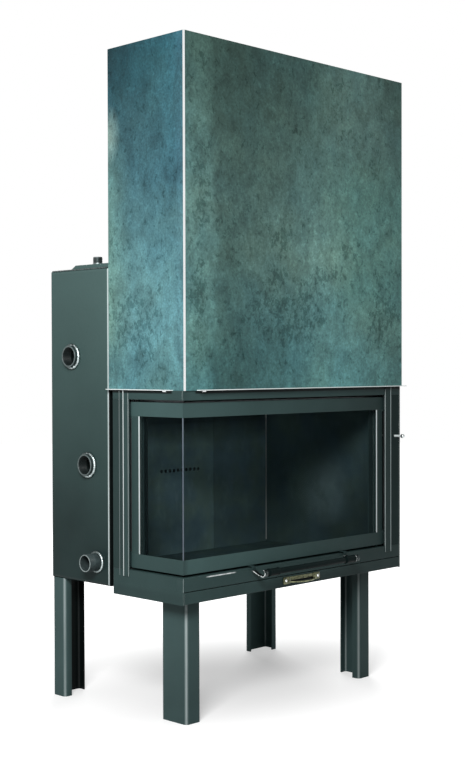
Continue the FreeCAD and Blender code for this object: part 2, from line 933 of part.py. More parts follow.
def handle_brackets():
    """Bent brackets from the door's lower rail to the handle, each with a ferrule on the bar."""
    axis = handle_axis()
    bore = handle_diameter + 2 * ferrule_clearance
    outer = bore + 2 * ferrule_wall
    foot_low = door_bottom - bracket_foot_drop
    shelf = foot_low + bracket_sheet
    half = bracket_sheet / 2
    bend = -bracket_shelf
    knee = bend - bracket_knee_run
    knee_top = shelf - bracket_knee_fall
    side = [
        (door_recess, foot_low),
        (door_recess, foot_low + bracket_foot),
        (door_recess - bracket_sheet, foot_low + bracket_foot),
        (door_recess - bracket_sheet, shelf),
        (bend, shelf),
        (knee, knee_top),
        (axis.y, axis.z + half),
        (axis.y, axis.z - half),
        (knee - half, knee_top - bracket_sheet),
        (bend - half, foot_low),
    ]
    brackets = []
    for start, ferrule_start in (
        (axis.x, axis.x),
        (axis.x + handle_length - bracket_width, axis.x + handle_length - ferrule_length),
    ):
        arm = prism([V(start, y, z) for y, z in side], V(bracket_width, 0, 0))
        place = V(ferrule_start, axis.y, axis.z)
        ferrule = rod(place, V(1, 0, 0), outer, ferrule_length)
        hole = rod(place, V(1, 0, 0), bore, ferrule_length)
        brackets.append(arm.fuse(ferrule).removeSplitter().cut(hole))
    return Part.makeCompound(brackets)


def guide_rails():
    """Square bars from the sill to the top of the hood that the door's shoes run on."""
    z = (sill_top, hood_top - hood_sheet)
    left = block((left_rail_x, left_rail_x + guide_rail), (left_rail_y, left_rail_y + guide_rail), z)
    right = block((right_rail_x, right_rail_x + guide_rail), (right_rail_y, right_rail_y + guide_rail), z)
    return Part.makeCompound([left, right])


def guide_shoes():
    """Slotted shoes at the ends of the door's stiles; the upper ones also take the chains."""
    slack = guide_clearance
    left_back = left_rail_y + guide_rail + shoe_wall
    left_slot = (left_rail_x - slack, left_rail_x + guide_rail + slack)
    right_slot = (right_rail_x - slack, right_rail_x + guide_rail + slack)
    upper = (shoe_top - shoe_height, shoe_top)
    lower = (door_bottom + shoe_end_inset, door_bottom + shoe_end_inset + shoe_height)
    chain_side = chain_width / 2 + slack
    left_reach = {upper: left_chain_x + chain_side, lower: left_slot[1] + shoe_wall}
    right_reach = {upper: right_chain_x + chain_side, lower: right_slot[1] + shoe_wall}
    right_back = {
        upper: right_chain_y + chain_anchor_depth,
        lower: door_back,
    }
    shoes = []
    for z in (upper, lower):
        left = block((door_recess, left_reach[z]), (door_left_end, left_back), z)
        shoes.append(left.cut(block(left_slot, (left_rail_y - slack, left_back), z)))
        right = block((door_right, right_reach[z]), (door_recess, right_back[z]), z)
        slot_depth = (door_recess, right_rail_y + guide_rail + slack)
        shoes.append(right.cut(block(right_slot, slot_depth, z)))
    return Part.makeCompound(shoes)


def chain_wheel(chain_x, chain_y):
    """Grooved wheel over which a chain turns from the door to its weight."""
    start = V(chain_x - wheel_width / 2, chain_y + chain_radius, wheel_axis_z)
    outer_radius = wheel_groove_radius + wheel_flange
    wheel = rod(start, V(1, 0, 0), 2 * outer_radius, wheel_width)
    groove_start = start + V(wheel_rim, 0, 0)
    groove_width = wheel_width - 2 * wheel_rim
    groove = pipe(groove_start, V(1, 0, 0), 2 * outer_radius, 2 * wheel_groove_radius, groove_width)
    wheel = wheel.cut(groove)
    bore = rod(start, V(1, 0, 0), axle_diameter + 2 * axle_clearance, wheel_width)
    wheel = wheel.cut(bore)
    ring = (wheel_groove_radius + axle_diameter / 2) / 2
    for number in range(wheel_hole_count):
        angle = 2 * math.pi * number / wheel_hole_count
        place = start + V(0, ring * math.cos(angle), ring * math.sin(angle))
        wheel = wheel.cut(rod(place, V(1, 0, 0), wheel_hole_diameter, wheel_width))
    return wheel


def left_chain_wheel():
    return chain_wheel(left_chain_x, left_chain_y)


def right_chain_wheel():
    return chain_wheel(right_chain_x, right_chain_y)


def wheel_bracket(chain_x, chain_y, inward):
    """Hanger under the hood's top with the wheel's stub axle."""
    axis_y = chain_y + chain_radius
    near = chain_x + inward * (wheel_width / 2 + bracket_gap)
    far = near + inward * wheel_bracket_sheet
    plate = block(
        (min(near, far), max(near, far)),
        (axis_y - wheel_bracket_width / 2, axis_y + wheel_bracket_width / 2),
        (wheel_axis_z - wheel_bracket_width / 2, hood_top - hood_sheet),
    )
    axle_length = wheel_width + 2 * bracket_gap + wheel_bracket_sheet
    axle = rod(V(far, axis_y, wheel_axis_z), V(-inward, 0, 0), axle_diameter, axle_length)
    return plate.fuse(axle).removeSplitter()


def wheel_brackets():
    return Part.makeCompound([
        wheel_bracket(left_chain_x, left_chain_y, 1),
        wheel_bracket(right_chain_x, right_chain_y, -1),
    ])


def lift_chain(chain_x, chain_y):
    """Chain from a guide shoe up over its wheel and down to the weight."""
    x = (chain_x - chain_width / 2 + chain_clearance, chain_x + chain_width / 2 - chain_clearance)
    half = chain_thickness / 2
    axis_y = chain_y + chain_radius
    door_run = block(x, (chain_y - half, chain_y + half), (shoe_top, wheel_axis_z))
    weight_y = axis_y + chain_radius
    weight_run = block(x, (weight_y - half, weight_y + half), (weight_top, wheel_axis_z))
    outer = 2 * (chain_radius + half)
    inner = 2 * (chain_radius - half)
    ring = pipe(V(x[0], axis_y, wheel_axis_z), V(1, 0, 0), outer, inner, x[1] - x[0])
    upper_half = block(x, (axis_y - outer, axis_y + outer), (wheel_axis_z, wheel_axis_z + outer))
    return door_run.fuse(ring.common(upper_half)).fuse(weight_run).removeSplitter()


def lift_chains():
    return Part.makeCompound([
        lift_chain(left_chain_x, left_chain_y),
        lift_chain(right_chain_x, right_chain_y),
    ])


def counterweight(chain_x, chain_y):
    """Steel bar that balances half of the door."""
    middle_y = chain_y + 2 * chain_radius
    return block(
        (chain_x - weight_width / 2, chain_x + weight_width / 2),
        (middle_y - weight_depth / 2, middle_y + weight_depth / 2),
        (weight_top - weight_height, weight_top),
    )


def left_counterweight():
    return counterweight(left_chain_x, left_chain_y)


def right_counterweight():
    return counterweight(right_chain_x, right_chain_y)


def drawer_front():
    return block(
        (frame_sheet + drawer_front_clearance, right_casing_x - drawer_front_clearance),
        (0, frame_sheet),
        (apron_bottom + drawer_front_bottom_gap, sill_bottom - drawer_front_top_gap),
    )


def ash_tray():
    """Welded tray behind the drawer front, open at the top: a floor and four walls."""
    wall = tray_sheet
    left, right = frame_sheet + tray_side_gap, right_casing_x - tray_side_gap
    front, back = frame_sheet, frame_sheet + tray_depth
    low = base_top + tray_clearance
    wall_z = (low + wall, low + tray_height)
    return Part.makeCompound([
        block((left, right), (front, back), (low, low + wall)),
        block((left, right), (front, front + wall), wall_z),
        block((left, right), (back - wall, back), wall_z),
        block((left, left + wall), (front + wall, back - wall), wall_z),
        block((right - wall, right), (front + wall, back - wall), wall_z),
    ])


def drawer_pull():
    """Bow handle: two foot plates and a curved strip between them."""
    middle = frame_width / 2
    level = (apron_bottom + sill_bottom) / 2 + pull_rise
    span = pull_spacing / 2 - pull_foot / 4
    foot_face = -pull_foot_sheet

    def arc(half_span, top):
        return Part.Arc(
            V(middle - half_span, foot_face, level - pull_height / 2),
            V(middle, top, level - pull_height / 2),
            V(middle + half_span, foot_face, level - pull_height / 2),
        ).toShape()

    outer = arc(span, -pull_projection)
    inner = arc(span - pull_strip, -pull_projection + pull_strip)
    ends = [
        Part.LineSegment(outer.Vertexes[side].Point, inner.Vertexes[side].Point).toShape() for side in (0, 1)
    ]
    wire = Part.Wire(Part.__sortEdges__([outer, ends[1], inner, ends[0]]))
    pull = Part.Face(wire).extrude(V(0, 0, pull_height))
    for side in (-1, 1):
        foot_x = middle + side * pull_spacing / 2
        foot = block(
            (foot_x - pull_foot / 2, foot_x + pull_foot / 2),
            (foot_face, 0),
            (level - pull_foot_height / 2, level + pull_foot_height / 2),
        )
        pull = pull.fuse(foot)
    return pull.removeSplitter()


def air_rod():
    start = V(air_rod_x, -air_rod_reach, air_rod_z)
    return rod(start, V(0, 1, 0), air_rod_diameter, air_rod_reach + air_flap_setback)


def air_knob():
    """Ball on the outer end of the air rod, flat where the rod meets it."""
    radius = air_knob_diameter / 2
    seat = math.sqrt(radius ** 2 - (air_rod_diameter / 2) ** 2)
    ball = Part.makeSphere(radius, V(air_rod_x, -air_rod_reach - seat, air_rod_z))
    beyond = block(
        (air_rod_x - radius, air_rod_x + radius),
        (-air_rod_reach, -air_rod_reach + radius),
        (air_rod_z - radius, air_rod_z + radius),
    )
    return ball.cut(beyond)


def air_flap():
    half = air_flap_side / 2
    return block(
        (air_rod_x - half, air_rod_x + half),
        (air_flap_setback, air_flap_setback + air_flap_sheet),
        (air_rod_z - half, air_rod_z + half),
    )


def air_bulkhead():
    """Plate across the side duct with the air port that the flap closes."""
    start = air_flap_setback + air_flap_sheet + air_flap_clearance
    plate = block(
        (chamber_right, right_casing_x),
        (start, start + frame_sheet),
        (air_rod_z - bulkhead_height / 2, air_rod_z + bulkhead_height / 2),
    )
    return plate.cut(rod(V(air_rod_x, start, air_rod_z), V(0, 1, 0), air_port_diameter, frame_sheet))


PIECES = {
    "front_legs": front_legs,
    "rear_legs": rear_legs,
    "base_plate": base_plate,
    "left_apron": left_apron,
    "right_casing": right_casing,
    "sills": sills,
    "top_rails": top_rails,
    "left_stile": left_stile,
    "right_stile": right_stile,
    "stile_mouldings": stile_mouldings,
    "hood_front": hood_front,
    "hood_left": hood_left,
    "hood_right": hood_right,
    "hood_back": hood_back,
    "hood_top": hood_top_panel,
    "hood_corner_strip": hood_corner_strip,
    "boiler_left": boiler_left,
    "boiler_right": boiler_right,
    "boiler_back": boiler_back_plate,
    "boiler_top": boiler_top_plate,
    "boiler_bottom": boiler_bottom_plate,
    "jacket_liners": jacket_liners,
    "exchanger_tubes": exchanger_tubes,
    "flue_collar": flue_collar,
    "inspection_cover": inspection_cover,
    "cover_screws": cover_screws,
    "vent_nipple": vent_nipple,
    "pipe_sockets": pipe_sockets,
    "lower_nipple": lower_nipple,
    "smoke_chamber_plates": smoke_chamber_plates,
    "side_linings": side_linings,
    "back_linings": back_linings,
    "hearth_plates": hearth_plates,
    "ash_grate": ash_grate,
    "smoke_baffle": smoke_baffle,
    "seal_frame": seal_frame,
    "door_bottom_rails": door_bottom_rails,
    "door_top_rails": door_top_rails,
    "door_left_stile": door_left_stile_bar,
    "door_right_stile": door_right_stile_bar,
    "front_glass": front_glass,
    "side_glass": side_glass,
    "door_seal": door_seal,
    "lift_handle": lift_handle,
    "handle_brackets": handle_brackets,
    "guide_shoes": guide_shoes,
    "guide_rails": guide_rails,
    "wheel_brackets": wheel_brackets,
    "lift_chains": lift_chains,
    "left_chain_wheel": left_chain_wheel,
    "right_chain_wheel": right_chain_wheel,
    "left_counterweight": left_counterweight,
    "right_counterweight": right_counterweight,
    "drawer_front": drawer_front,
    "ash_tray": ash_tray,
    "drawer_pull": drawer_pull,
    "air_rod": air_rod,
    "air_knob": air_knob,
    "air_flap": air_flap,
    "air_bulkhead": air_bulkhead,
}


def main():
    """Builds every piece about the point under the middle of the whole and writes it out."""
    leftmost = boiler_left_x - nipple_reach
    rightmost = hood_right_x + lip_overrun
    foremost = -handle_standoff - handle_diameter / 2 - ferrule_clearance - ferrule_wall
    rearmost = boiler_back
    middle = V((leftmost + rightmost) / 2, (foremost + rearmost) / 2, 0)
    os.makedirs("parts", exist_ok=True)
    for name, make in PIECES.items():
        shape = make()
        shape.translate(-middle)
        shape.exportStep("parts/" + name + ".step")


main()
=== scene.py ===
import math

import bmesh
import bpy
from mathutils import Matrix, Vector


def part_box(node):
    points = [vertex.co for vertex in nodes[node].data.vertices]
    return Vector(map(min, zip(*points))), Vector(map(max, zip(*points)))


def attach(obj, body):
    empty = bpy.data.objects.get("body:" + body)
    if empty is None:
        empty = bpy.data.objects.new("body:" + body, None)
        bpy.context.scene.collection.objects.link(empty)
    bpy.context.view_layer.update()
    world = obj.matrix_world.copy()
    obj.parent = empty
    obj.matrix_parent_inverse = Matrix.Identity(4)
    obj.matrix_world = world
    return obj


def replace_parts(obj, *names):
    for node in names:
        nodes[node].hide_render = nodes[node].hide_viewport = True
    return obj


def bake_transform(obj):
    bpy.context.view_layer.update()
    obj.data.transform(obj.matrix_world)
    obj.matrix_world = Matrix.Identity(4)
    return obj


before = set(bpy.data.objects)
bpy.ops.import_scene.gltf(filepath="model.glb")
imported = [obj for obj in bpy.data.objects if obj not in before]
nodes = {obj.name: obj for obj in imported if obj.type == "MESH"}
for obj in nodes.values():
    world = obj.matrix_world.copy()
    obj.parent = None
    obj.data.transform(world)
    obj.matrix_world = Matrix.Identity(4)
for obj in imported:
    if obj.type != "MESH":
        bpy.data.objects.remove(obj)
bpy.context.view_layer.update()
scene = bpy.context.scene

MM = 0.001
# Places are measured from the surround's front left corner; the origin lies under the middle.
CORNER = Vector((-436.0, -245.7, 0.0))
LEFTWARDS, RIGHTWARDS, BACKWARDS, UPWARDS = (-1, 0, 0), (1, 0, 0), (0, 1, 0), (0, 0, 1)


def spot(x, y, z):
    """A place given in millimetres from the surround's front left corner."""
    return (Vector((x, y, z)) + CORNER) * MM


# Modelling by hand: a primitive at its place, edited and finished. Sizes are in millimetres.

SAME_PLACE, SAME_CORNER = 0.00002, 0.00001
FOLD_ANGLE, EDGE_ANGLE = math.radians(50), math.radians(40)
STRAIGHT = 0.9


def let_go():
    bpy.ops.object.select_all(action="DESELECT")


def hold(*pieces):
    """Selects only these pieces, the first one active."""
    let_go()
    for piece in pieces:
        piece.select_set(True)
    bpy.context.view_layer.objects.active = pieces[0]


def named(piece, name):
    piece.name = name
    piece.data.name = name
    return piece


def take_up(name, size=(1, 1, 1)):
    """Names the new primitive, settles its size and place and opens it for editing."""
    piece = named(bpy.context.active_object, name)
    piece.scale = size
    bpy.ops.object.transform_apply()
    bpy.ops.object.mode_set(mode="EDIT")
    return piece


def select_all():
    bpy.ops.mesh.select_all(action="SELECT")


def pick(kind, test):
    """Selects the corners, edges or faces whose middle and direction pass a test."""
    bpy.ops.mesh.select_mode(type=kind)
    bpy.ops.mesh.select_all(action="DESELECT")
    mesh = bmesh.from_edit_mesh(bpy.context.edit_object.data)
    mesh.normal_update()
    for part in {"VERT": mesh.verts, "EDGE": mesh.edges, "FACE": mesh.faces}[kind]:
        if kind == "EDGE":
            start, end = (corner.co for corner in part.verts)
            middle, way = (start + end) / 2, (end - start).normalized()
        else:
            middle, way = part.co if kind == "VERT" else part.calc_center_median(), part.normal
        if test(middle, way):
            part.select_set(True)
    mesh.select_flush_mode()
    bmesh.update_edit_mesh(bpy.context.edit_object.data)


def closed(piece):
    """Turns the faces outwards and ends the editing."""
    select_all()
    bpy.ops.mesh.normals_make_consistent()
    bpy.ops.object.mode_set(mode="OBJECT")
    return piece


def modify(piece, kind, **settings):
    """Adds a modifier."""
    modifier = piece.modifiers.new(kind.title(), kind)
    for name, value in settings.items():
        setattr(modifier, name, value)
    return modifier.name


def press(piece, kind, **settings):
    """Adds a modifier and applies it."""
    bpy.context.view_layer.objects.active = piece
    bpy.ops.object.modifier_apply(modifier=modify(piece, kind, **settings))


def rounded(piece, width):
    """Rounds the folds and cut edges of a strip."""
    press(piece, "BEVEL", width=width * MM, segments=3, limit_method="ANGLE", angle_limit=FOLD_ANGLE)
    return piece


def hand_over(piece, body, finish, crease=35):
    """Smooth shading up to a crease, the finish, and the body that the piece moves with, if only one."""
    hold(piece)
    bpy.ops.object.shade_smooth_by_angle(angle=math.radians(crease))
    piece.select_set(False)
    piece.data.materials.clear()
    piece.data.materials.append(finish)
    if body:
        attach(piece, body)
    return piece


def joined(pieces, name):
    """Joins loose pieces into one."""
    hold(*pieces)
    bpy.ops.object.join()
    return named(bpy.context.active_object, name)


def block(name, low, high):
    """Block between two corners, open for editing."""
    low, high = spot(*low), spot(*high)
    let_go()
    bpy.ops.mesh.primitive_cube_add(size=1, location=(low + high) / 2)
    return take_up(name, high - low)


def plate(name, low, high, edge):
    """Flat bar or plate with broken edges."""
    piece = block(name, low, high)
    select_all()
    bpy.ops.mesh.bevel(offset=edge * MM, segments=2, affect="EDGES")
    return closed(piece)


def turned(name, start, axis, rings, sides=40, hollow=False):
    """Round piece drawn out of a circle; a ring is its distance along the axis and its radius."""
    axis = Vector(axis).normalized()
    rings = [(distance * MM, radius * MM) for distance, radius in rings]
    let_go()
    bpy.ops.mesh.primitive_circle_add(
        vertices=sides, radius=rings[0][1], location=start + axis * rings[0][0],
        rotation=axis.to_track_quat("Z", "Y").to_euler(),
    )
    piece = take_up(name)
    select_all()
    draw_out = bpy.ops.mesh.extrude_edges_move
    if not hollow:
        draw_out = bpy.ops.mesh.extrude_region_move
        bpy.ops.mesh.edge_face_add()
        bpy.ops.mesh.select_mode(type="EDGE")
        select_all()
    for (here, wide), (there, next_wide) in zip(rings, rings[1:]):
        draw_out(TRANSFORM_OT_translate={"value": axis * (there - here)})
        scale = next_wide / wide
        bpy.ops.transform.resize(value=(scale, scale, scale), center_override=start + axis * there)
    select_all()
    bpy.ops.mesh.remove_doubles(threshold=SAME_PLACE)
    return closed(piece)


def weld_ring(name, centre, axis, radius, thick, ripples):
    """Weld bead laid round a pipe, with its ripples."""
    let_go()
    bpy.ops.mesh.primitive_torus_add(
        major_radius=radius * MM, minor_radius=thick * MM, major_segments=ripples * 3, minor_segments=10,
        location=centre, rotation=Vector(axis).to_track_quat("Z", "Y").to_euler(),
    )
    piece = take_up(name)
    side = Vector(axis).orthogonal().normalized()
    across = Vector(axis).cross(side)

    def hollow(middle, way):
        turn = math.atan2((middle - centre).dot(across), (middle - centre).dot(side))
        return round(turn / math.tau * ripples * 3) % 3 == 0

    pick("VERT", hollow)
    bpy.ops.transform.shrink_fatten(value=-0.22 * thick * MM)
    select_all()
    bpy.ops.transform.vertex_random(offset=0.05 * thick * MM, seed=3)
    return closed(piece)


def beaded_rod(name, start, end, thick, pitch, dip):
    """Weld seam or braided rope: a rod with even dips, each a share of its thickness."""
    run = end - start
    count = max(3, int(run.length / (pitch * MM)))
    let_go()
    bpy.ops.mesh.primitive_cylinder_add(
        vertices=10, radius=thick * MM, depth=run.length, location=(start + end) / 2,
        rotation=run.to_track_quat("Z", "Y").to_euler(),
    )
    piece = take_up(name)
    along = run.normalized()
    pick("EDGE", lambda middle, way: abs(way.dot(along)) > STRAIGHT)
    bpy.ops.mesh.subdivide(number_cuts=2 * count)
    step = run.length / (2 * count + 1)
    pick("VERT", lambda middle, way: round((middle - start).dot(along) / step) % 2 == 0)
    bpy.ops.transform.shrink_fatten(value=-dip * thick * MM)
    return closed(piece)


def screw(name, seat, axis, radius, height):
    """Domed screw head with a round recess."""
    dome = [(-0.1, 0.96), (0.25, 1), (0.55, 0.92), (0.85, 0.7), (1, 0.42), (0.96, 0.34), (0.5, 0.24)]
    rings = [(height * rise, radius * share) for rise, share in dome]
    return turned(name, seat, axis, rings, sides=20)


# Finishes: each is a shader with the nodes that feed it, on Object coordinates.

METRE = 1000.0
CLOUD_LOW, CLOUD_HIGH = 0.3, 0.7
MIX_FIRST, MIX_SECOND, MIX_RESULT = 6, 7, 2


class Nodes:
    """Node tree built node by node."""

    def __init__(self, tree):
        self.tree = tree

    def add(self, kind, sockets=None, **settings):
        """New node with its settings and what goes into its sockets."""
        node = self.tree.nodes.new("ShaderNode" + kind)
        for name, value in settings.items():
            setattr(node, name, value)
        for socket, source in (sockets or {}).items():
            self.feed(node.inputs[socket], source)
        return node

    def feed(self, socket, source):
        if hasattr(source, "is_output"):
            self.tree.links.new(source, socket)
        else:
            socket.default_value = source

    def spread(self, source, low, high, to_low=0.0, to_high=1.0, **settings):
        """Takes a value from one range to another."""
        return self.add("MapRange", {
            "Value": source, "From Min": low, "From Max": high, "To Min": to_low, "To Max": to_high,
        }, **settings).outputs["Result"]

    def reckon(self, operation, first, second=0.0):
        return self.add("Math", {0: first, 1: second}, operation=operation).outputs[0]

    def times(self, first, second):
        return self.reckon("MULTIPLY", first, second)

    def plus(self, first, second):
        return self.reckon("ADD", first, second)

    def seen_directly(self):
        """1 for what the lens sees, also in metal and through glass."""
        path = self.add("LightPath").outputs
        mirrored = self.reckon("MAXIMUM", path["Is Camera Ray"], path["Is Glossy Ray"])
        return self.reckon("MAXIMUM", mirrored, path["Is Transmission Ray"])


class Finish(Nodes):
    """Material whose shader takes constants or what its nodes give."""

    def __init__(self, name, shine=0.5, metallic=0.0):
        self.material = bpy.data.materials.new(name)
        self.material.use_nodes = True
        super().__init__(self.material.node_tree)
        self.shader = self.tree.nodes["Principled BSDF"]
        self.coordinates = self.add("TexCoord").outputs
        self.to("Specular IOR Level", shine)
        self.to("Metallic", metallic)

    def to(self, socket, source):
        self.feed(self.shader.inputs[socket], source)

    def stretched(self, scale, shift=(0, 0, 0)):
        return self.add("Mapping", {
            "Vector": self.coordinates["Object"], "Scale": scale, "Location": shift,
        }).outputs["Vector"]

    def noise(self, size, detail=4.0, rough=0.55, warp=0.0, stretch=(1, 1, 1), shift=(0, 0, 0)):
        """Cloudy pattern whose patches are about this size in millimetres."""
        return self.add("TexNoise", {
            "Vector": self.stretched(stretch, shift), "Scale": METRE / size, "Detail": detail,
            "Roughness": rough, "Distortion": warp,
        }).outputs["Fac"]

    def vary(self, pattern, low=0.0, high=1.0):
        """Takes a cloudy pattern's usual range to another."""
        return self.spread(pattern, CLOUD_LOW, CLOUD_HIGH, low, high)

    def blend(self, share, first, second, how="MIX"):
        first, second = (
            value if hasattr(value, "is_output") else (*value, 1.0) for value in (first, second)
        )
        return self.add("Mix", {
            "Factor": share, MIX_FIRST: first, MIX_SECOND: second,
        }, data_type="RGBA", blend_type=how).outputs[MIX_RESULT]

    def lay(self, share, first, second):
        """Starts the base colour."""
        self.base = self.blend(share, first, second)

    def tint(self, share, colour):
        """Takes the base colour some way to another."""
        self.base = self.blend(share, self.base, colour)

    def dim(self, share):
        """Multiplies the base colour by a share that changes over the surface."""
        self.base = self.blend(1.0, self.base, share, "MULTIPLY")

    def along(self, axis, source="Object"):
        """Place, or part of the surface's Normal, along an axis of the fireplace."""
        return self.add("SeparateXYZ", {0: self.coordinates[source]}).outputs[axis]

    def ramp(self, axis, start, end, *shares):
        return self.spread(self.along(axis), start, end, *shares)

    def slant(self, axis):
        """Part of the surface's normal along an axis, whichever way."""
        return self.reckon("ABSOLUTE", self.along(axis, "Normal"))

    def folds(self, start, full):
        """1 on upright folds and broken edges, where the surface turns from one flat to the next."""
        sideways = self.reckon("MAXIMUM", self.slant("X"), self.slant("Y"))
        turned_by = self.spread(sideways, 1.0 - start, 1.0 - full)
        return self.times(turned_by, self.spread(self.slant("Z"), 0.5, 0.2))

    def away(self, centre, reach):
        """Distance from a place, as a share of a reach given for each axis."""
        scale = [1.0 / far for far in reach]
        shift = [-at / far for at, far in zip(centre, reach)]
        node = self.add("VectorMath", {0: self.stretched(scale, shift)}, operation="LENGTH")
        return node.outputs["Value"]

    def around(self, centre, reach):
        """1 at a place, falling to 0 at a distance given for each axis."""
        return self.spread(self.away(centre, reach), 1.0, 0.0)

    def within(self, limits):
        """1 where every limit is passed; a limit is an axis, where it starts and where it is full."""
        share = 1.0
        for limit in limits:
            share = self.times(share, self.ramp(*limit))
        return share

    def done(self, rough, height=None, strength=0.0, depth=0.0):
        """Material with its base colour, roughness and, if it has one, its relief in millimetres."""
        self.to("Base Color", self.base)
        self.to("Roughness", rough)
        if height is not None:
            relief = self.add("Bump", {"Strength": strength, "Distance": depth * MM, "Height": height})
            self.to("Normal", relief.outputs["Normal"])
        return self.material


WEAR_AND_HIGHLIGHT_TINT = (0.5, 0.57, 0.57)
SOOT_AND_SHADE_BLACK = (0.004, 0.006, 0.006)
CUT_EDGE = (0.8, 0.85, 0.85)
# Share, start and full strength of the painted highlight on upright folds, broken up like wear.
NO_FOLD_HIGHLIGHT, HIGHLIGHTED_FOLDS = (0.0, 0.1, 0.2), (0.8, 0.04, 0.2)
DIM_BEAD_HIGHLIGHT, BRIGHT_BEAD_HIGHLIGHT = (0.4, 0.03, 0.12), (1.0, 0.03, 0.12)
# Reach along an axis that makes no difference.
ANY = 1000.0
PIT_SIZE = 2.2


def lip_shadow(coat):
    """1 on the strip just under the hood's folded lip, where its shadow is painted; the strip stops short of
    the corner.
    """
    sides = coat.reckon("MAXIMUM", coat.ramp("X", -0.394, -0.388), coat.ramp("Y", -0.209, -0.203))
    return coat.times(coat.ramp("Z", 0.8572, 0.859), sides)


def sill_streak(coat):
    """1 on a long thin bright streak left of the handle, just below the sill's upper edge."""
    away = coat.reckon("ABSOLUTE", coat.reckon("SUBTRACT", coat.along("Z"), 0.3841))
    ends = coat.within((("X", -0.357, -0.34), ("X", -0.243, -0.252)))
    broken = coat.spread(coat.noise(22, detail=3), 0.34, 0.52, 0.25, 1.0)
    return coat.times(coat.spread(away, 0.002, 0.0008), coat.times(ends, broken))


def stove_paint(name, tone, dust=0.12, gloss=0.42, rub_and_highlight=HIGHLIGHTED_FOLDS, shine=0.07, painted_top_light=None, painted_shade_ramp=None,
                painted_lip_shadow=False, bright_streak=False, painted_gap_shade=False, painted_light_and_shade=()):
    """Satin heat-proof paint: fine orange peel, a slow drift of tone, and a painted highlight on upright
    folds, broken up like wear; where asked, painted light towards the top, a painted shade ramp, a painted
    shadow under the hood's lip, a bright streak on the sill, painted shade on faces turned to the front, and
    regions of painted light and shade.
    """
    coat = Finish(name, shine)
    drift = coat.noise(260, detail=3)
    fine = coat.noise(9, detail=3)
    grain = coat.noise(1.6, detail=2)
    tone = Vector(tone)
    coat.lay(coat.vary(drift), tone * (1 - dust), tone * (1 + dust))
    # Paler towards the top: painted light.
    if painted_top_light:
        paler, low, high = painted_top_light
        wander = coat.plus(coat.along("Z"), coat.vary(drift, -0.04, 0.04))
        coat.tint(coat.spread(wander, low, high), paler)
    coat.tint(coat.spread(fine, 0.55, 0.8, 0.0, 0.2), tone * 1.4)
    # Darker along a ramp: painted shade.
    if painted_shade_ramp:
        axis, start, end, share = painted_shade_ramp
        coat.dim(coat.ramp(axis, start, end, 1.0, share))
    # Painted highlight on upright folds, broken into patches like wear.
    amount, *turn = rub_and_highlight
    painted_sheen = coat.spread(coat.noise(60, detail=3, stretch=(1, 1, 0.3)), 0.3, 0.55, 0.7, 1.0)
    coat.tint(coat.times(coat.folds(*turn), coat.times(painted_sheen, amount)), WEAR_AND_HIGHLIGHT_TINT)
    # Painted shadow under the hood's lip.
    if painted_lip_shadow:
        coat.tint(coat.times(lip_shadow(coat), 0.92), SOOT_AND_SHADE_BLACK)
    # Bright streak along the sill, left of the handle.
    if bright_streak:
        coat.tint(sill_streak(coat), CUT_EDGE)
    # Faces turned to the front go near black: painted shade in the narrow gap in front of them.
    if painted_gap_shade:
        coat.tint(coat.spread(coat.along("Y", "Normal"), -0.7, -0.86), SOOT_AND_SHADE_BLACK)
    # Regions whose colour is multiplied by a share: below 1 painted shade, above 1 painted light.
    for limits, share in painted_light_and_shade:
        coat.dim(coat.spread(coat.within(limits), 0.0, 1.0, 1.0, share))
    peel = coat.plus(grain, coat.times(fine, 2.0))
    return coat.done(coat.vary(coat.noise(35), gloss - 0.05, gloss + 0.08), peel, 0.1, 0.2)


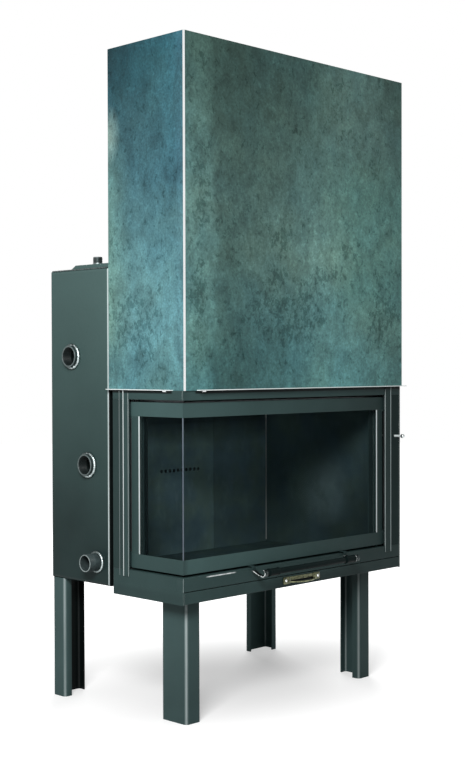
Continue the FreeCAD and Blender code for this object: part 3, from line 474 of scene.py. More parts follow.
def hood_oxide(name, low, mid, top, levels=(0.98, 1.3, 1.32, 1.74), shift=0.0, painted_shade_band=None, rise=(), edges=(),
               glare=None, painted_top_shade=None, lip=None, stains=()):
    """Bare sheet with a mottled oxide: clouds, dark spots in clusters, pale flecks, a bright cut lip. It
    darkens towards the top, partly oxide and partly painted shade; where asked it adds a painted glare,
    painted shade at the top, a painted shade band and ramps of painted light and shade.
    """
    coat = Finish(name, shine=0.12, metallic=0.15)
    clouds = coat.noise(230, detail=5, rough=0.6, warp=0.5, shift=(0.35, 0.2, 0.1 + shift))
    hues = coat.noise(300, rough=0.6, shift=(2.2, 0.9, 1.6 + shift))
    mottle = coat.noise(50, detail=8, rough=0.72, warp=0.4, stretch=(1, 1, 0.65), shift=(1.3, 0.6, 2.2))
    spots = coat.noise(15, detail=7, rough=0.7, warp=0.5, stretch=(1, 1, 0.8))
    clusters = coat.noise(130, detail=6, rough=0.66, shift=(3.1, 1.7, 0.4 + shift))
    flecks = coat.noise(17, rough=0.65, warp=0.4, shift=(0.7, 2.9, 1.1))
    grain = coat.noise(6, detail=3, rough=0.6)
    drips = coat.noise(8, detail=3, stretch=(1, 1, 0.05))
    # Darker towards the top: partly the oxide, partly painted shade.
    height = coat.plus(coat.along("Z"), coat.vary(clouds, -0.09, 0.09))
    coat.lay(coat.spread(height, *levels[:2]), low, mid)
    coat.tint(coat.spread(height, *levels[2:]), top)
    for tint, share, limits in edges:
        coat.tint(coat.times(coat.within(limits), share), tint)
    if glare:
        place, reach, tint, share = glare
        coat.tint(coat.times(coat.around(place, reach), share), tint)
    # Painted shade at the top of the sheet.
    if painted_top_shade:
        place, reach, share = painted_top_shade
        coat.dim(coat.spread(coat.around(place, reach), 0.0, 1.0, 1.0, share))
    coat.dim(coat.vary(clouds, 0.88, 1.12))
    coat.dim(coat.vary(mottle, 0.57, 1.38))
    coat.dim(coat.blend(coat.spread(hues, 0.36, 0.64), (0.93, 0.99, 1.04), (1.06, 1.0, 0.94)))
    bloom = coat.times(coat.spread(flecks, 0.53, 0.66), coat.spread(clusters, 0.58, 0.44))
    coat.dim(coat.spread(bloom, 0.0, 1.0, 1.0, 1.3))
    patchy = coat.spread(clusters, 0.5, 0.66, 0.0, 0.7)
    ragged = coat.vary(clusters, -0.45, 0.45)
    for place, reach in stains:
        near = coat.spread(coat.plus(coat.around(place, reach), ragged), 0.1, 0.6)
        patchy = coat.reckon("MAXIMUM", patchy, near)
    spotted = coat.spread(coat.plus(spots, coat.spread(patchy, 0.0, 1.0, -0.075, 0.035)), 0.505, 0.575)
    coat.dim(coat.blend(spotted, (1.0, 1.0, 1.0), (0.55, 0.6, 0.6)))
    coat.dim(coat.vary(grain, 0.77, 1.23))
    coat.dim(coat.spread(drips, 0.6, 0.74, 1.0, 0.86))
    # Painted shade band across the sheet.
    if painted_shade_band:
        wander = coat.plus(coat.along("X"), coat.vary(clouds, -0.03, 0.03))
        left, left_full, right, right_full, depth = painted_shade_band
        dark = coat.spread(wander, left, left_full, 1.0, depth)
        pale = coat.spread(wander, right, right_full, depth, 1.0)
        coat.dim(coat.reckon("MAXIMUM", dark, pale))
    # Ramps of painted light (share above 1) and painted shade (share below 1) across the sheet.
    for start, end, share in rise:
        coat.dim(coat.ramp("X", start, end, 1.0, share))
    if lip:
        coat.tint(coat.ramp(*lip), CUT_EDGE)
    return coat.done(coat.vary(spots, 0.46, 0.62), coat.plus(grain, spots), 0.06, 0.15)


def bare_metal(name, tone, rough, brushed=(1, 1, 1), stain=(0.1, 0.1, 0.1), stained=0.25):
    """Rolled or turned metal: drawn scratches, patches of stain and uneven gloss."""
    coat = Finish(name, metallic=1.0)
    scratches = coat.noise(1.2, detail=2, stretch=brushed)
    patches = coat.noise(30, rough=0.6)
    tone = Vector(tone)
    coat.lay(coat.vary(scratches), tone * 0.88, tone)
    coat.tint(coat.spread(patches, 0.52, 0.75, 0.0, stained), stain)
    return coat.done(coat.vary(patches, rough, rough + 0.15), scratches, 0.08, 0.1)


def glinting_strip():
    """Blackened chrome strip with a painted highlight in patches along its cut edges, where it is less
    metallic.
    """
    coat = Finish("strip_chrome")
    patches = coat.noise(7, rough=0.6)
    # Painted highlight along the cut edges, in patches.
    cut = coat.spread(coat.slant("X"), 0.35, 0.7)
    bright = coat.times(cut, coat.spread(patches, 0.4, 0.5, 0.3, 1.0))
    coat.lay(coat.spread(patches, 0.58, 0.72), (0.022, 0.03, 0.03), (0.2, 0.23, 0.23))
    coat.tint(bright, (0.9, 0.95, 0.95))
    coat.to("Metallic", coat.spread(bright, 0.0, 1.0, 1.0, 0.25))
    return coat.done(coat.vary(patches, 0.12, 0.32), coat.noise(1.2, detail=2), 0.08, 0.1)


def weld_metal():
    """Weld left grey by its heat, with a painted highlight in ripples on the side that faces the front."""
    coat = Finish("weld_metal", metallic=1.0)
    ripple = coat.noise(6, detail=3)
    coat.lay(coat.spread(ripple, 0.35, 0.65), (0.045, 0.062, 0.062), (0.15, 0.18, 0.18))
    # Painted highlight on the side that faces the front.
    reach = coat.spread(coat.along("Y", "Normal"), -0.08, -0.5)
    brushed = coat.times(reach, coat.spread(ripple, 0.36, 0.5, 0.2, 1.0))
    coat.tint(brushed, (0.46, 0.53, 0.53))
    return coat.done(coat.vary(ripple, 0.26, 0.42), coat.noise(1.4, detail=2), 0.15, 0.2)


def air_hole_soot(coat):
    """1 on the rings of soot round the row of air holes."""
    first, pitch, count, level = -0.0585, 0.017, 10, 0.612
    beside = coat.reckon("PINGPONG", coat.reckon("SUBTRACT", coat.along("X"), first), pitch / 2)
    above = coat.reckon("SUBTRACT", coat.along("Z"), level)
    apart = coat.plus(coat.times(beside, beside), coat.times(above, above))
    last = first + pitch * (count - 1)
    row = coat.within((("X", first - 0.008, first - 0.006), ("X", last + 0.008, last + 0.006)))
    return coat.times(coat.spread(apart, 0.00004, 0.000018), row)


def fire_plate(name, tone, painted_light_shade_ramps, tone_step=None, painted_sheen=None):
    """Dark heat-proof plates, greyer where rubbed and sooty in patches, with painted light and shade along
    ramps; where asked, a step in tone at an upright line with sooty air holes, and a painted reflection.
    """
    coat = Finish(name, shine=0.03)
    soot = coat.noise(150, detail=5, rough=0.65)
    hues = coat.noise(110, detail=3, shift=(1.7, 0.3, 2.4))
    rub_and_highlight = coat.noise(26, stretch=(1, 1, 0.5))
    tone = Vector(tone)
    coat.lay(coat.spread(soot, 0.35, 0.68), tone * 1.18, tone * 0.78)
    coat.dim(coat.blend(coat.spread(hues, 0.38, 0.62), (0.88, 0.96, 1.06), (1.04, 1.06, 0.92)))
    coat.tint(coat.spread(rub_and_highlight, 0.55, 0.8, 0.0, 0.3), tone * 2.0)
    # Ramps of painted light and shade.
    for ramp in painted_light_shade_ramps:
        coat.dim(coat.ramp(*ramp))
    # Brighter left of an upright line, darker right of it.
    if tone_step:
        coat.dim(coat.ramp("X", tone_step - 0.0004, tone_step + 0.0004, 1.35, 0.9))
        coat.tint(air_hole_soot(coat), SOOT_AND_SHADE_BLACK)
    # Painted reflection: a paler patch.
    if painted_sheen:
        place, reach, paler = painted_sheen
        uneven = coat.spread(coat.noise(70, detail=5, rough=0.65), 0.3, 0.62, 0.25, 1.0)
        coat.tint(coat.times(coat.around(place, reach), uneven), paler)
    return coat.done(coat.vary(rub_and_highlight, 0.6, 0.75), rub_and_highlight, 0.03, 0.2)


def socket_metal(name, tone, rim, mouth, bore_shade=None):
    """Blackened steel fitting, worn bright on its mouth, with painted shade inside its bore where asked."""
    coat = Finish(name, shine=0.08)
    tone = Vector(tone)
    coat.lay(coat.vary(coat.noise(14)), tone * 0.7, tone * 1.3)
    # Painted shade inside the bore.
    if bore_shade:
        dark = coat.around((0.0, bore_shade[0], bore_shade[1]), (ANY, bore_shade[2], bore_shade[2]))
        coat.dim(coat.spread(dark, 0.0, 0.06, 1.0, 0.25))
    uneven = coat.spread(coat.noise(8, detail=3), 0.3, 0.6, 0.55, 1.0)
    coat.tint(coat.times(coat.ramp("X", *mouth), uneven), rim)
    return coat.done(coat.vary(coat.noise(5), 0.36, 0.52), coat.noise(1.2), 0.1, 0.1)


def casting(name, tone):
    """Cast iron, pitted and rusty in places."""
    coat = Finish(name, shine=0.3)
    cells = coat.add("TexVoronoi", {"Vector": coat.coordinates["Object"], "Scale": METRE / PIT_SIZE})
    pits = cells.outputs["Distance"]
    tone = Vector(tone)
    coat.lay(coat.vary(coat.noise(40)), tone * 0.75, tone * 1.3)
    coat.tint(coat.spread(coat.noise(15, detail=5), 0.62, 0.8, 0.0, 0.35), (0.12, 0.06, 0.035))
    return coat.done(coat.vary(coat.noise(12), 0.6, 0.78), coat.plus(pits, coat.noise(1.5)), 0.35, 0.4)


def door_glass():
    """Clear glass with a faint smoke film, streaked by wiping; it mirrors only at a flat angle."""
    coat = Finish("door_glass")
    coat.to("Alpha", 0.1)
    film = coat.noise(160, stretch=(1, 1, 0.4))
    wipes = coat.noise(18, detail=3, stretch=(0.4, 0.4, 2.5))
    coat.lay(coat.spread(film, 0.35, 0.7), (0.01, 0.018, 0.021), (0.024, 0.042, 0.044))
    coat.tint(coat.spread(wipes, 0.55, 0.8, 0.0, 0.3), (0.04, 0.06, 0.063))
    flat = coat.add("LayerWeight").outputs["Facing"]
    coat.to("Specular IOR Level", coat.spread(flat, 0.55, 0.85, 0.0, 0.6))
    return coat.done(coat.vary(film, 0.03, 0.09))


def seal_rope():
    """Braided glass rope."""
    coat = Finish("seal_rope", shine=0.1)
    braid = coat.add("TexWave", {
        "Vector": coat.coordinates["Object"], "Scale": 120.0, "Distortion": 1.5,
    }, bands_direction="DIAGONAL").outputs["Fac"]
    coat.lay(coat.spread(braid, 0.2, 0.8), (0.05, 0.05, 0.047), (0.2, 0.195, 0.18))
    coat.tint(coat.spread(coat.noise(30), 0.5, 0.7, 0.0, 0.6), (0.04, 0.038, 0.035))
    return coat.done(0.92, coat.plus(braid, coat.noise(1.0)), 0.6, 0.8)


def aged_brass(name, polish):
    """Old brass, dull in its hollows, polished where hands reach it."""
    coat = Finish(name, metallic=1.0)
    dull = coat.noise(9, rough=0.6)
    dark, light = Vector((0.046, 0.05, 0.031)) * polish, Vector((0.135, 0.142, 0.082)) * polish
    coat.lay(coat.spread(dull, 0.35, 0.65), dark, light)
    coat.tint(coat.spread(coat.noise(3), 0.62, 0.8, 0.0, 0.6), (0.36, 0.35, 0.22))
    return coat.done(coat.vary(dull, 0.24, 0.42), coat.noise(0.9), 0.08, 0.1)


def glass_tint():
    """Clouded joint of the two panes."""
    coat = Finish("glass_joint", shine=0.4)
    cloudy = coat.noise(40, detail=3, stretch=(1, 1, 0.2))
    coat.lay(coat.spread(cloudy, 0.35, 0.65), (0.055, 0.08, 0.11), (0.105, 0.135, 0.165))
    return coat.done(coat.vary(cloudy, 0.2, 0.35))


FRAME_TONE = Vector((0.031, 0.0575, 0.056))
SHADE_TOWARDS_RIGHT = ("X", -0.3, 0.46, 0.55)
DOOR_LOW = (("Z", 0.45, 0.43),)
# Copies of the surround's paint in other tones: a lighter one for the door's rails (painted light), darker
# ones for the stiles (painted shade). The surround's parts also get painted shade ramps towards the right and
# regions of painted light and shade.
lit_door_paint = stove_paint(
    "lit_door_paint", FRAME_TONE * 1.4, painted_shade_ramp=("X", -0.36, 0.4, 0.4),
    painted_light_and_shade=((DOOR_LOW + (("X", -0.408, -0.424),), 0.78), (DOOR_LOW + (("X", -0.424, -0.408),), 1.18)),
)
shaded_right_stile_paint = stove_paint(
    "shaded_right_stile_paint", FRAME_TONE * 0.42, rub_and_highlight=(0.9, 0.04, 0.2), shine=0.03, painted_lip_shadow=True
)
frame_paint = stove_paint(
    "frame_paint", FRAME_TONE, painted_shade_ramp=SHADE_TOWARDS_RIGHT, painted_lip_shadow=True,
    painted_light_and_shade=(
        ((("Z", 0.835, 0.842), ("X", -0.424, -0.405)), 1.18),
        ((("Z", 0.35, 0.34), ("X", -0.41, -0.43)), 0.86),
    ),
)
shaded_left_stile_paint = stove_paint("shaded_left_stile_paint", FRAME_TONE * 0.72, painted_lip_shadow=True)
sill_paint = stove_paint("sill_paint", FRAME_TONE, painted_shade_ramp=SHADE_TOWARDS_RIGHT, bright_streak=True)
moulding_paint = stove_paint("moulding_paint", FRAME_TONE, rub_and_highlight=BRIGHT_BEAD_HIGHLIGHT, painted_shade_ramp=SHADE_TOWARDS_RIGHT, painted_lip_shadow=True)
# Pale paints that stand for the highlights on the beads and the air rod: painted highlights.
highlight_paint = stove_paint("highlight_paint", (0.58, 0.64, 0.64), rub_and_highlight=BRIGHT_BEAD_HIGHLIGHT)
dim_highlight_paint = stove_paint("dim_highlight_paint", (0.22, 0.27, 0.27), rub_and_highlight=DIM_BEAD_HIGHLIGHT)
faint_highlight_paint = stove_paint("faint_highlight_paint", (0.11, 0.14, 0.14), rub_and_highlight=DIM_BEAD_HIGHLIGHT)
inner_paint = stove_paint("inner_paint", (0.018, 0.033, 0.033), rub_and_highlight=NO_FOLD_HIGHLIGHT, shine=0.03)
# Painted shadow: a near-black line on the seal frame beside the glass's edge.
seal_paint = stove_paint(
    "seal_paint", (0.022, 0.04, 0.04), rub_and_highlight=NO_FOLD_HIGHLIGHT, shine=0.03,
    painted_light_and_shade=(((("X", -0.37, -0.39), ("Y", -0.0545, -0.057)), 0.12),),
)
# Legs: painted shade towards the front and on the right front leg, deep painted shade inside the rear
# channels, and painted light on the rear right leg.
LEG_TONE = (0.05, 0.088, 0.087)
leg_paint = stove_paint("leg_paint", LEG_TONE, dust=0.16, rub_and_highlight=(0.6, 0.03, 0.24), painted_shade_ramp=("Y", 0.0, -0.22, 0.85),
                        painted_light_and_shade=(((("X", 0.1, 0.25),), 0.62),))
LEFT_LEG = ("X", -0.25, -0.27)
rear_leg_paint = stove_paint(
    "rear_leg_paint", LEG_TONE, dust=0.16, rub_and_highlight=(0.5, 0.03, 0.24),
    painted_light_and_shade=(
        ((LEFT_LEG, ("X", -0.424, -0.403)), 0.55),
        ((LEFT_LEG, ("X", -0.4275, -0.4255), ("Y", 0.256, 0.262)), 0.1),
        ((("X", 0.2, 0.25),), 1.3),
    ),
)
# Boiler: painted light towards the top, and painted shade on its faces turned to the front.
boiler_paint = stove_paint(
    "boiler_paint", (0.0145, 0.029, 0.0283), dust=0.15, gloss=0.4, rub_and_highlight=(0.95, 0.1, 0.22),
    painted_top_light=((0.062, 0.108, 0.103), 0.42, 1.12), painted_gap_shade=True,
)
hood_left_oxide = hood_oxide(
    "hood_left_oxide", (0.109, 0.242, 0.254), (0.041, 0.107, 0.127), (0.022, 0.081, 0.101),
    levels=(1.12, 1.42, 1.44, 1.76),
    edges=(
        ((0.15, 0.29, 0.25), 0.8, (("Y", -0.05, 0.045), ("Z", 1.6, 1.25))),
        ((0.06, 0.135, 0.17), 0.35, (("Y", -0.205, -0.245),)),
        ((0.072, 0.18, 0.198), 0.75, (("Z", 1.02, 0.93),)),
    ),
    glare=((0.0, 0.044, 1.545), (ANY, 0.048, 0.085), (0.2, 0.31, 0.29), 1.0),
    painted_top_shade=((0.0, 0.048, 1.777), (ANY, 0.2, 0.24), 0.45), lip=("X", -0.433, -0.4334),
    stains=(((0.0, -0.06, 1.03), (ANY, 0.16, 0.12)),),
)
hood_front_oxide = hood_oxide(
    "hood_front_oxide", (0.092, 0.208, 0.2), (0.095, 0.184, 0.167), (0.047, 0.101, 0.091), shift=0.3,
    painted_shade_band=(-0.352, -0.315, -0.215, 0.085, 0.64), rise=((0.0, 0.17, 1.26), (0.2, 0.42, 0.82)),
    edges=(
        ((0.068, 0.185, 0.19), 0.45, (("Z", 1.02, 0.9),)),
        ((0.08, 0.15, 0.138), 0.6, (("Z", 1.45, 1.6), ("X", 0.05, 0.18), ("X", 0.46, 0.33))),
        ((0.054, 0.148, 0.154), 0.6, (("Z", 1.08, 0.96), ("X", 0.08, -0.06), ("X", -0.38, -0.33))),
        ((0.075, 0.205, 0.192), 0.5, (("Z", 1.56, 1.42), ("Z", 1.02, 1.14), ("X", 0.08, 0.26))),
    ),
    glare=((0.0, 0.0, 1.235), (0.28, ANY, 0.15), (0.15, 0.275, 0.24), 0.75), lip=("Y", -0.25, -0.2504),
    painted_top_shade=((-0.09, 0.0, 1.66), (0.3, ANY, 0.26), 0.88),
    stains=(
        ((0.107, 0.0, 1.188), (0.13, ANY, 0.045)), ((0.22, 0.0, 1.258), (0.06, ANY, 0.05)),
        ((-0.05, 0.0, 1.09), (0.22, ANY, 0.13)), ((0.365, 0.0, 1.07), (0.12, ANY, 0.14)),
        ((-0.072, 0.0, 1.269), (0.07, ANY, 0.06)), ((-0.386, 0.0, 1.1), (0.05, ANY, 0.2)),
        ((-0.365, 0.0, 1.38), (0.05, ANY, 0.14)),
    ),
)
hood_rear_oxide = hood_oxide(
    "hood_rear_oxide", (0.085, 0.19, 0.19), (0.07, 0.15, 0.15), (0.045, 0.102, 0.104), shift=0.7
)
bright_trim = bare_metal("bright_trim", (0.9, 0.92, 0.92), 0.16, brushed=(1, 1, 0.02), stained=0.05)
rolled_steel = bare_metal("rolled_steel", (0.22, 0.23, 0.24), 0.4, brushed=(0.05, 1, 1), stained=0.45)
pipe_steel = bare_metal("pipe_steel", (0.2, 0.23, 0.23), 0.34, stain=(0.05, 0.05, 0.05), stained=0.6)
socket_steels = {
    name: socket_metal(name + "_steel", (0.024, 0.038, 0.038), (0.13, 0.16, 0.16), (-0.4466, -0.4476), bore_shade)
    for name, bore_shade in (("upper_socket", (0.2018, 0.956, 0.0272)), ("middle_socket", (0.1348, 0.659, 0.0272)))
}
stub_steel = socket_metal(
    "stub_steel", (0.038, 0.054, 0.055), (0.36, 0.42, 0.42), (-0.4745, -0.4756), bore_shade=(0.0998, 0.3965, 0.0214)
)
strip_chrome = glinting_strip()
polished_chrome = bare_metal(
    "polished_chrome", (0.62, 0.66, 0.66), 0.08, stain=(0.06, 0.07, 0.07), stained=0.6
)
bar_enamel = stove_paint("bar_enamel", (0.006, 0.0115, 0.0115), gloss=0.3, rub_and_highlight=NO_FOLD_HIGHLIGHT, shine=0.02)
# Near-black for a painted shadow behind the drawer pull.
shadow_black = stove_paint("shadow_black", SOOT_AND_SHADE_BLACK, rub_and_highlight=NO_FOLD_HIGHLIGHT, shine=0.02)
weld_finish = weld_metal()
# Lighter and darker copies of one lining finish: painted light on the back linings, painted shade on the side
# linings, baffle and hearth.
lit_back_plate = fire_plate(
    "lit_back_plate", (0.122, 0.198, 0.21), (("Z", 0.44, 0.64, 0.56, 1.7), ("Z", 0.685, 0.757, 1.0, 0.1)),
    tone_step=0.1615,
)
shaded_side_plate = fire_plate(
    "shaded_side_plate", (0.03, 0.051, 0.053), (("Z", 0.44, 0.66, 0.64, 1.22), ("Y", -0.17, 0.22, 0.72, 1.8)),
    painted_sheen=((0.4, 0.008, 0.554), (1.0, 0.12, 0.135), (0.09, 0.138, 0.143)),
)
# Pale paint for the strip down the firebox's back corner, darker towards the bottom: painted shade.
pale_corner_paint = stove_paint(
    "pale_corner_paint", (0.8, 0.86, 0.85), rub_and_highlight=NO_FOLD_HIGHLIGHT, shine=0.02, painted_shade_ramp=("Z", 0.66, 0.44, 0.45)
)
grate_iron = casting("grate_iron", (0.028, 0.028, 0.03))
weight_iron = casting("weight_iron", (0.05, 0.05, 0.052))
glass_finish = door_glass()
clouded_glass = glass_tint()
rope_finish = seal_rope()
brass_finish = aged_brass("aged_brass", 1.0)
bow_brass = aged_brass("bow_brass", 1.9)

# Finishes of the pieces that keep their solids.

kept = {
    sill_paint: ["sills"],
    inner_paint: ["guide_shoes", "base_plate"],
    seal_paint: ["seal_frame"],
    frame_paint: ["left_apron", "right_casing", "top_rails", "drawer_front"],
    shaded_left_stile_paint: ["left_stile"],
    shaded_right_stile_paint: ["right_stile"],
    lit_door_paint: ["door_bottom_rails", "door_top_rails"],
    moulding_paint: ["stile_mouldings", "door_left_stile", "door_right_stile"],
    leg_paint: ["front_legs"],
    rear_leg_paint: ["rear_legs"],
    boiler_paint: ["boiler_left", "boiler_right", "boiler_back", "boiler_top", "boiler_bottom",
                   "inspection_cover", "flue_collar"],
    hood_left_oxide: ["hood_left"],
    hood_front_oxide: ["hood_front"],
    hood_rear_oxide: ["hood_right", "hood_top", "hood_back"],
    # The bright strip down the hood's corner stands for the highlight on the corner's bend: a painted
    # highlight.
    bright_trim: ["hood_corner_strip"],
    highlight_paint: ["air_rod"],
    rolled_steel: ["jacket_liners", "exchanger_tubes", "smoke_chamber_plates", "guide_rails",
                   "wheel_brackets", "left_chain_wheel", "right_chain_wheel", "ash_tray", "air_flap",
                   "air_bulkhead"],
    pipe_steel: ["cover_screws"],
    lit_back_plate: ["back_linings"],
    shaded_side_plate: ["side_linings", "smoke_baffle", "hearth_plates"],
    grate_iron: ["ash_grate"],
    weight_iron: ["left_counterweight", "right_counterweight"],
    glass_finish: ["front_glass", "side_glass"],
}
for finish, names in kept.items():
    for name in names:
        nodes[name].data.materials.clear()
        nodes[name].data.materials.append(finish)

# Folded and sawn edges are broken, so that they catch the light.
broken_edges = {
    0.3: ["ash_tray"],
    0.4: ["back_linings"],
    0.5: ["hood_front", "hood_left", "hood_right", "hood_back", "hood_top"],
    0.6: ["seal_frame"],
    0.8: ["base_plate"],
    0.9: ["stile_mouldings"],
    1.0: ["door_left_stile", "door_right_stile", "boiler_back", "boiler_bottom", "side_linings",
          "hearth_plates", "ash_grate"],
    1.2: ["sills", "top_rails", "left_stile", "right_stile", "drawer_front", "inspection_cover"],
    1.4: ["door_bottom_rails", "door_top_rails"],
    1.5: ["left_apron", "right_casing"],
    2.0: ["left_counterweight", "right_counterweight"],
}
for width, names in broken_edges.items():
    for name in names:
        modify(nodes[name], "WELD", merge_threshold=SAME_CORNER)
        modify(nodes[name], "BEVEL", width=width * MM, segments=2, limit_method="ANGLE",
               angle_limit=EDGE_ANGLE, harden_normals=True)

# Pipe fittings on the boiler: a turned body with its thread, and a weld bead round its foot.

SIDE_FACE = 4
PIPE_PITCH, VENT_PITCH = 2.3, 1.8


def thread(start, end, root, crest, pitch):
    """Rings of a thread's ridges from one distance to another."""
    count = int(abs(end - start) / pitch)
    step = (end - start) / count
    ridge = ((0.25, crest), (0.75, root))
    return [(start + step * (number + at), radius) for number in range(count) for at, radius in ridge]


def welded(bead):
    return hand_over(bead, "boiler", weld_finish, crease=60)


def fitting(name, node, place, axis, rings, sides, finish, bead):
    """Hollow fitting; its bead is a distance along the axis, a radius, a thickness and its ripples."""
    body = turned(name, place, axis, rings, sides, hollow=True)
    hand_over(body, "boiler", finish)
    distance, radius, thick, ripples = bead
    foot = place + Vector(axis) * distance * MM
    ring = welded(weld_ring(name + "_weld", foot, axis, radius, thick, ripples))
    for piece in (body, ring):
        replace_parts(piece, node)


# Sockets with a chamfered mouth and an inside thread.
socket_rings = [(-20, 30), (14.5, 30), (16, 28.6), (16, 26.4), (13.5, 24.4)]
socket_rings += thread(13, -13, 24.6, 23.3, PIPE_PITCH) + [(-14, 23.9), (-20, 23.9), (-20, 30)]
for name, y, z in (("upper_socket", 447.5, 956), ("middle_socket", 380.5, 659)):
    place, steel = spot(SIDE_FACE, y, z), socket_steels[name]
    fitting(name, "pipe_sockets", place, LEFTWARDS, socket_rings, 56, steel, (4, 30.4, 5.4, 36))

# Longer pipe with a thread on its end.
pipe_rings = [(-18, 24.15), (22, 24.15)] + thread(23, 41, 23, 24, PIPE_PITCH) + [(42.8, 23.4), (44, 22.6)]
pipe_rings += [(44, 21.6), (43, 20.95), (-18, 20.95), (-18, 24.15)]
place = spot(SIDE_FACE, 345.5, 396.5)
fitting("lower_pipe", "lower_nipple", place, LEFTWARDS, pipe_rings, 48, stub_steel, (3, 25.4, 4.6, 30))

# Short threaded stub on the inspection cover.
low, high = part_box("vent_nipple")
place = Vector(((low[0] + high[0]) / 2, (low[1] + high[1]) / 2, low[2]))
vent_rings = [(0, 13.45), (5, 13.45)] + thread(6, 21, 12.5, 13.4, VENT_PITCH) + [(22, 12.9), (23, 12.2)]
vent_rings += [(23, 11.2), (22, 10.8), (0, 10.8), (0, 13.45)]
fitting("vent_stub", "vent_nipple", place, UPWARDS, vent_rings, 40, pipe_steel, (1, 14.2, 2.2, 20))

# Lift handle: dark bar in two ferrules on bent brackets.

BAR_Y, BAR_Z = -45, 379
BAR_LEFT, BAR_RIGHT = 258, 636
STRIP_WIDTH, FOOT_THICK, ARM_THICK = 13, 2.2, 2.8


def ferrule(name, start_x):
    """Sleeve with a rounded collar at each end."""
    rings = [(0, 8.05), (0, 10.4), (1, 11), (4, 11), (5, 10.2), (35, 10.2), (36, 11), (39, 11),
             (40, 10.4), (40, 8.05), (0, 8.05)]
    return turned(name, spot(start_x, BAR_Y, BAR_Z), RIGHTWARDS, rings, sides=32, hollow=True)


def folded_strip(name, left_x, corners, thick):
    """Strip folded along a line of corners, each its place backwards and upwards."""
    start = corners[0]
    let_go()
    bpy.ops.mesh.primitive_plane_add(size=1, location=spot(left_x + STRIP_WIDTH / 2, *start))
    piece = take_up(name, (STRIP_WIDTH * MM, 1 * MM, 1))
    pick("EDGE", lambda middle, way: middle.y < spot(0, *start).y and abs(way.x) > STRAIGHT)
    for here, there in zip(corners, corners[1:]):
        step = Vector((0, there[0] - here[0], there[1] - here[1])) * MM
        bpy.ops.mesh.extrude_edges_move(TRANSFORM_OT_translate={"value": step})
    bpy.ops.object.mode_set(mode="OBJECT")
    press(piece, "SOLIDIFY", thickness=thick * MM, offset=0)
    return rounded(piece, 0.8)


length = BAR_RIGHT - BAR_LEFT
bar_end = [(0, 5.2), (0.6, 6.8), (1.6, 7.6), (3, 8)]
bar_rings = bar_end + [(length - distance, radius) for distance, radius in reversed(bar_end)]
bar = turned("handle_bar", spot(BAR_LEFT, BAR_Y, BAR_Z), RIGHTWARDS, bar_rings, sides=32)
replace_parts(hand_over(bar, "door", bar_enamel), "lift_handle")

# The foot comes out under the door's rail, through the gap; the arm goes down and round the bar.
foot_line = [(11, 393.8), (-3, 393.8), (-5, 392.6), (-6.4, 389.6), (-6.4, 381.2)]
arm_line = [(-5.6, 382), (-12, 381.4), (-19, 378), (-26, 374.6), (-33, 372.3), (-38.6, 371),
            (-45, 369.5), (-51.4, 372.4), (-53.8, 379), (-51.4, 385.6), (-47, 388)]
for side, sleeve_x, arm_x in (
    ("left", BAR_LEFT + 10, BAR_LEFT - 13), ("right", BAR_RIGHT - 50, BAR_RIGHT - 9),
):
    for piece, finish in (
        (ferrule(side + "_ferrule", sleeve_x), bar_enamel),
        (folded_strip(side + "_bracket_foot", arm_x, foot_line, FOOT_THICK), inner_paint),
        (folded_strip(side + "_bracket_arm", arm_x, arm_line, ARM_THICK), strip_chrome),
    ):
        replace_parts(hand_over(piece, "door", finish), "handle_brackets")

# Brass pull on the ash drawer.

PULL_X, PULL_Z = 450, 339
BOW_HALF, BOW_RISE, BOW_FRONT, BOW_DROP = 54.5, 26, -29, 4.5
BOW_DEPTH, BOW_HEIGHT = 5, 3.6
FOOT_OUT, FOOT_WIDE, FOOT_HIGH, FOOT_CORNER = 61, 15, 10, 5
FOOT_FACE, FOOT_BORDER, FOOT_RAISED = -3, 1.6, 0.8


def pull_bow():
    """Strip spun along an arc between the two feet."""
    radius = (BOW_HALF ** 2 + BOW_RISE ** 2) / (2 * BOW_RISE)
    hub = spot(PULL_X, BOW_FRONT + radius, PULL_Z)
    sweep = 2 * math.asin(BOW_HALF / radius)
    start = spot(PULL_X, BOW_FRONT + BOW_DEPTH / 2, PULL_Z - BOW_DROP)
    let_go()
    bpy.ops.mesh.primitive_plane_add(size=1, location=start, rotation=(0, math.pi / 2, 0))
    piece = take_up("pull_bow", (BOW_HEIGHT * MM, BOW_DEPTH * MM, 1))
    select_all()
    bpy.ops.transform.rotate(value=sweep / 2, orient_axis="Z", center_override=hub)
    bpy.ops.mesh.spin(steps=28, angle=-sweep, center=hub, axis=UPWARDS)
    return rounded(closed(piece), 1.1)


def pull_foot(name, x):
    """Foot plate with round corners and a raised middle."""
    low = (x - FOOT_WIDE, FOOT_FACE, PULL_Z - FOOT_HIGH)
    piece = block(name, low, (x + FOOT_WIDE, 0, PULL_Z + FOOT_HIGH))
    pick("EDGE", lambda middle, way: abs(way.y) > STRAIGHT)
    bpy.ops.mesh.bevel(offset=FOOT_CORNER * MM, segments=5, affect="EDGES")
    pick("FACE", lambda middle, way: way.y < -STRAIGHT)
    bpy.ops.mesh.inset(thickness=FOOT_BORDER * MM)
    bpy.ops.transform.translate(value=(0, -FOOT_RAISED * MM, 0))
    return closed(piece)


BACK_LEVEL = PULL_Z - 1
pull_back = plate("pull_back", (PULL_X - 50, -2.4, BACK_LEVEL), (PULL_X + 50, 0, PULL_Z + 9), 0.8)
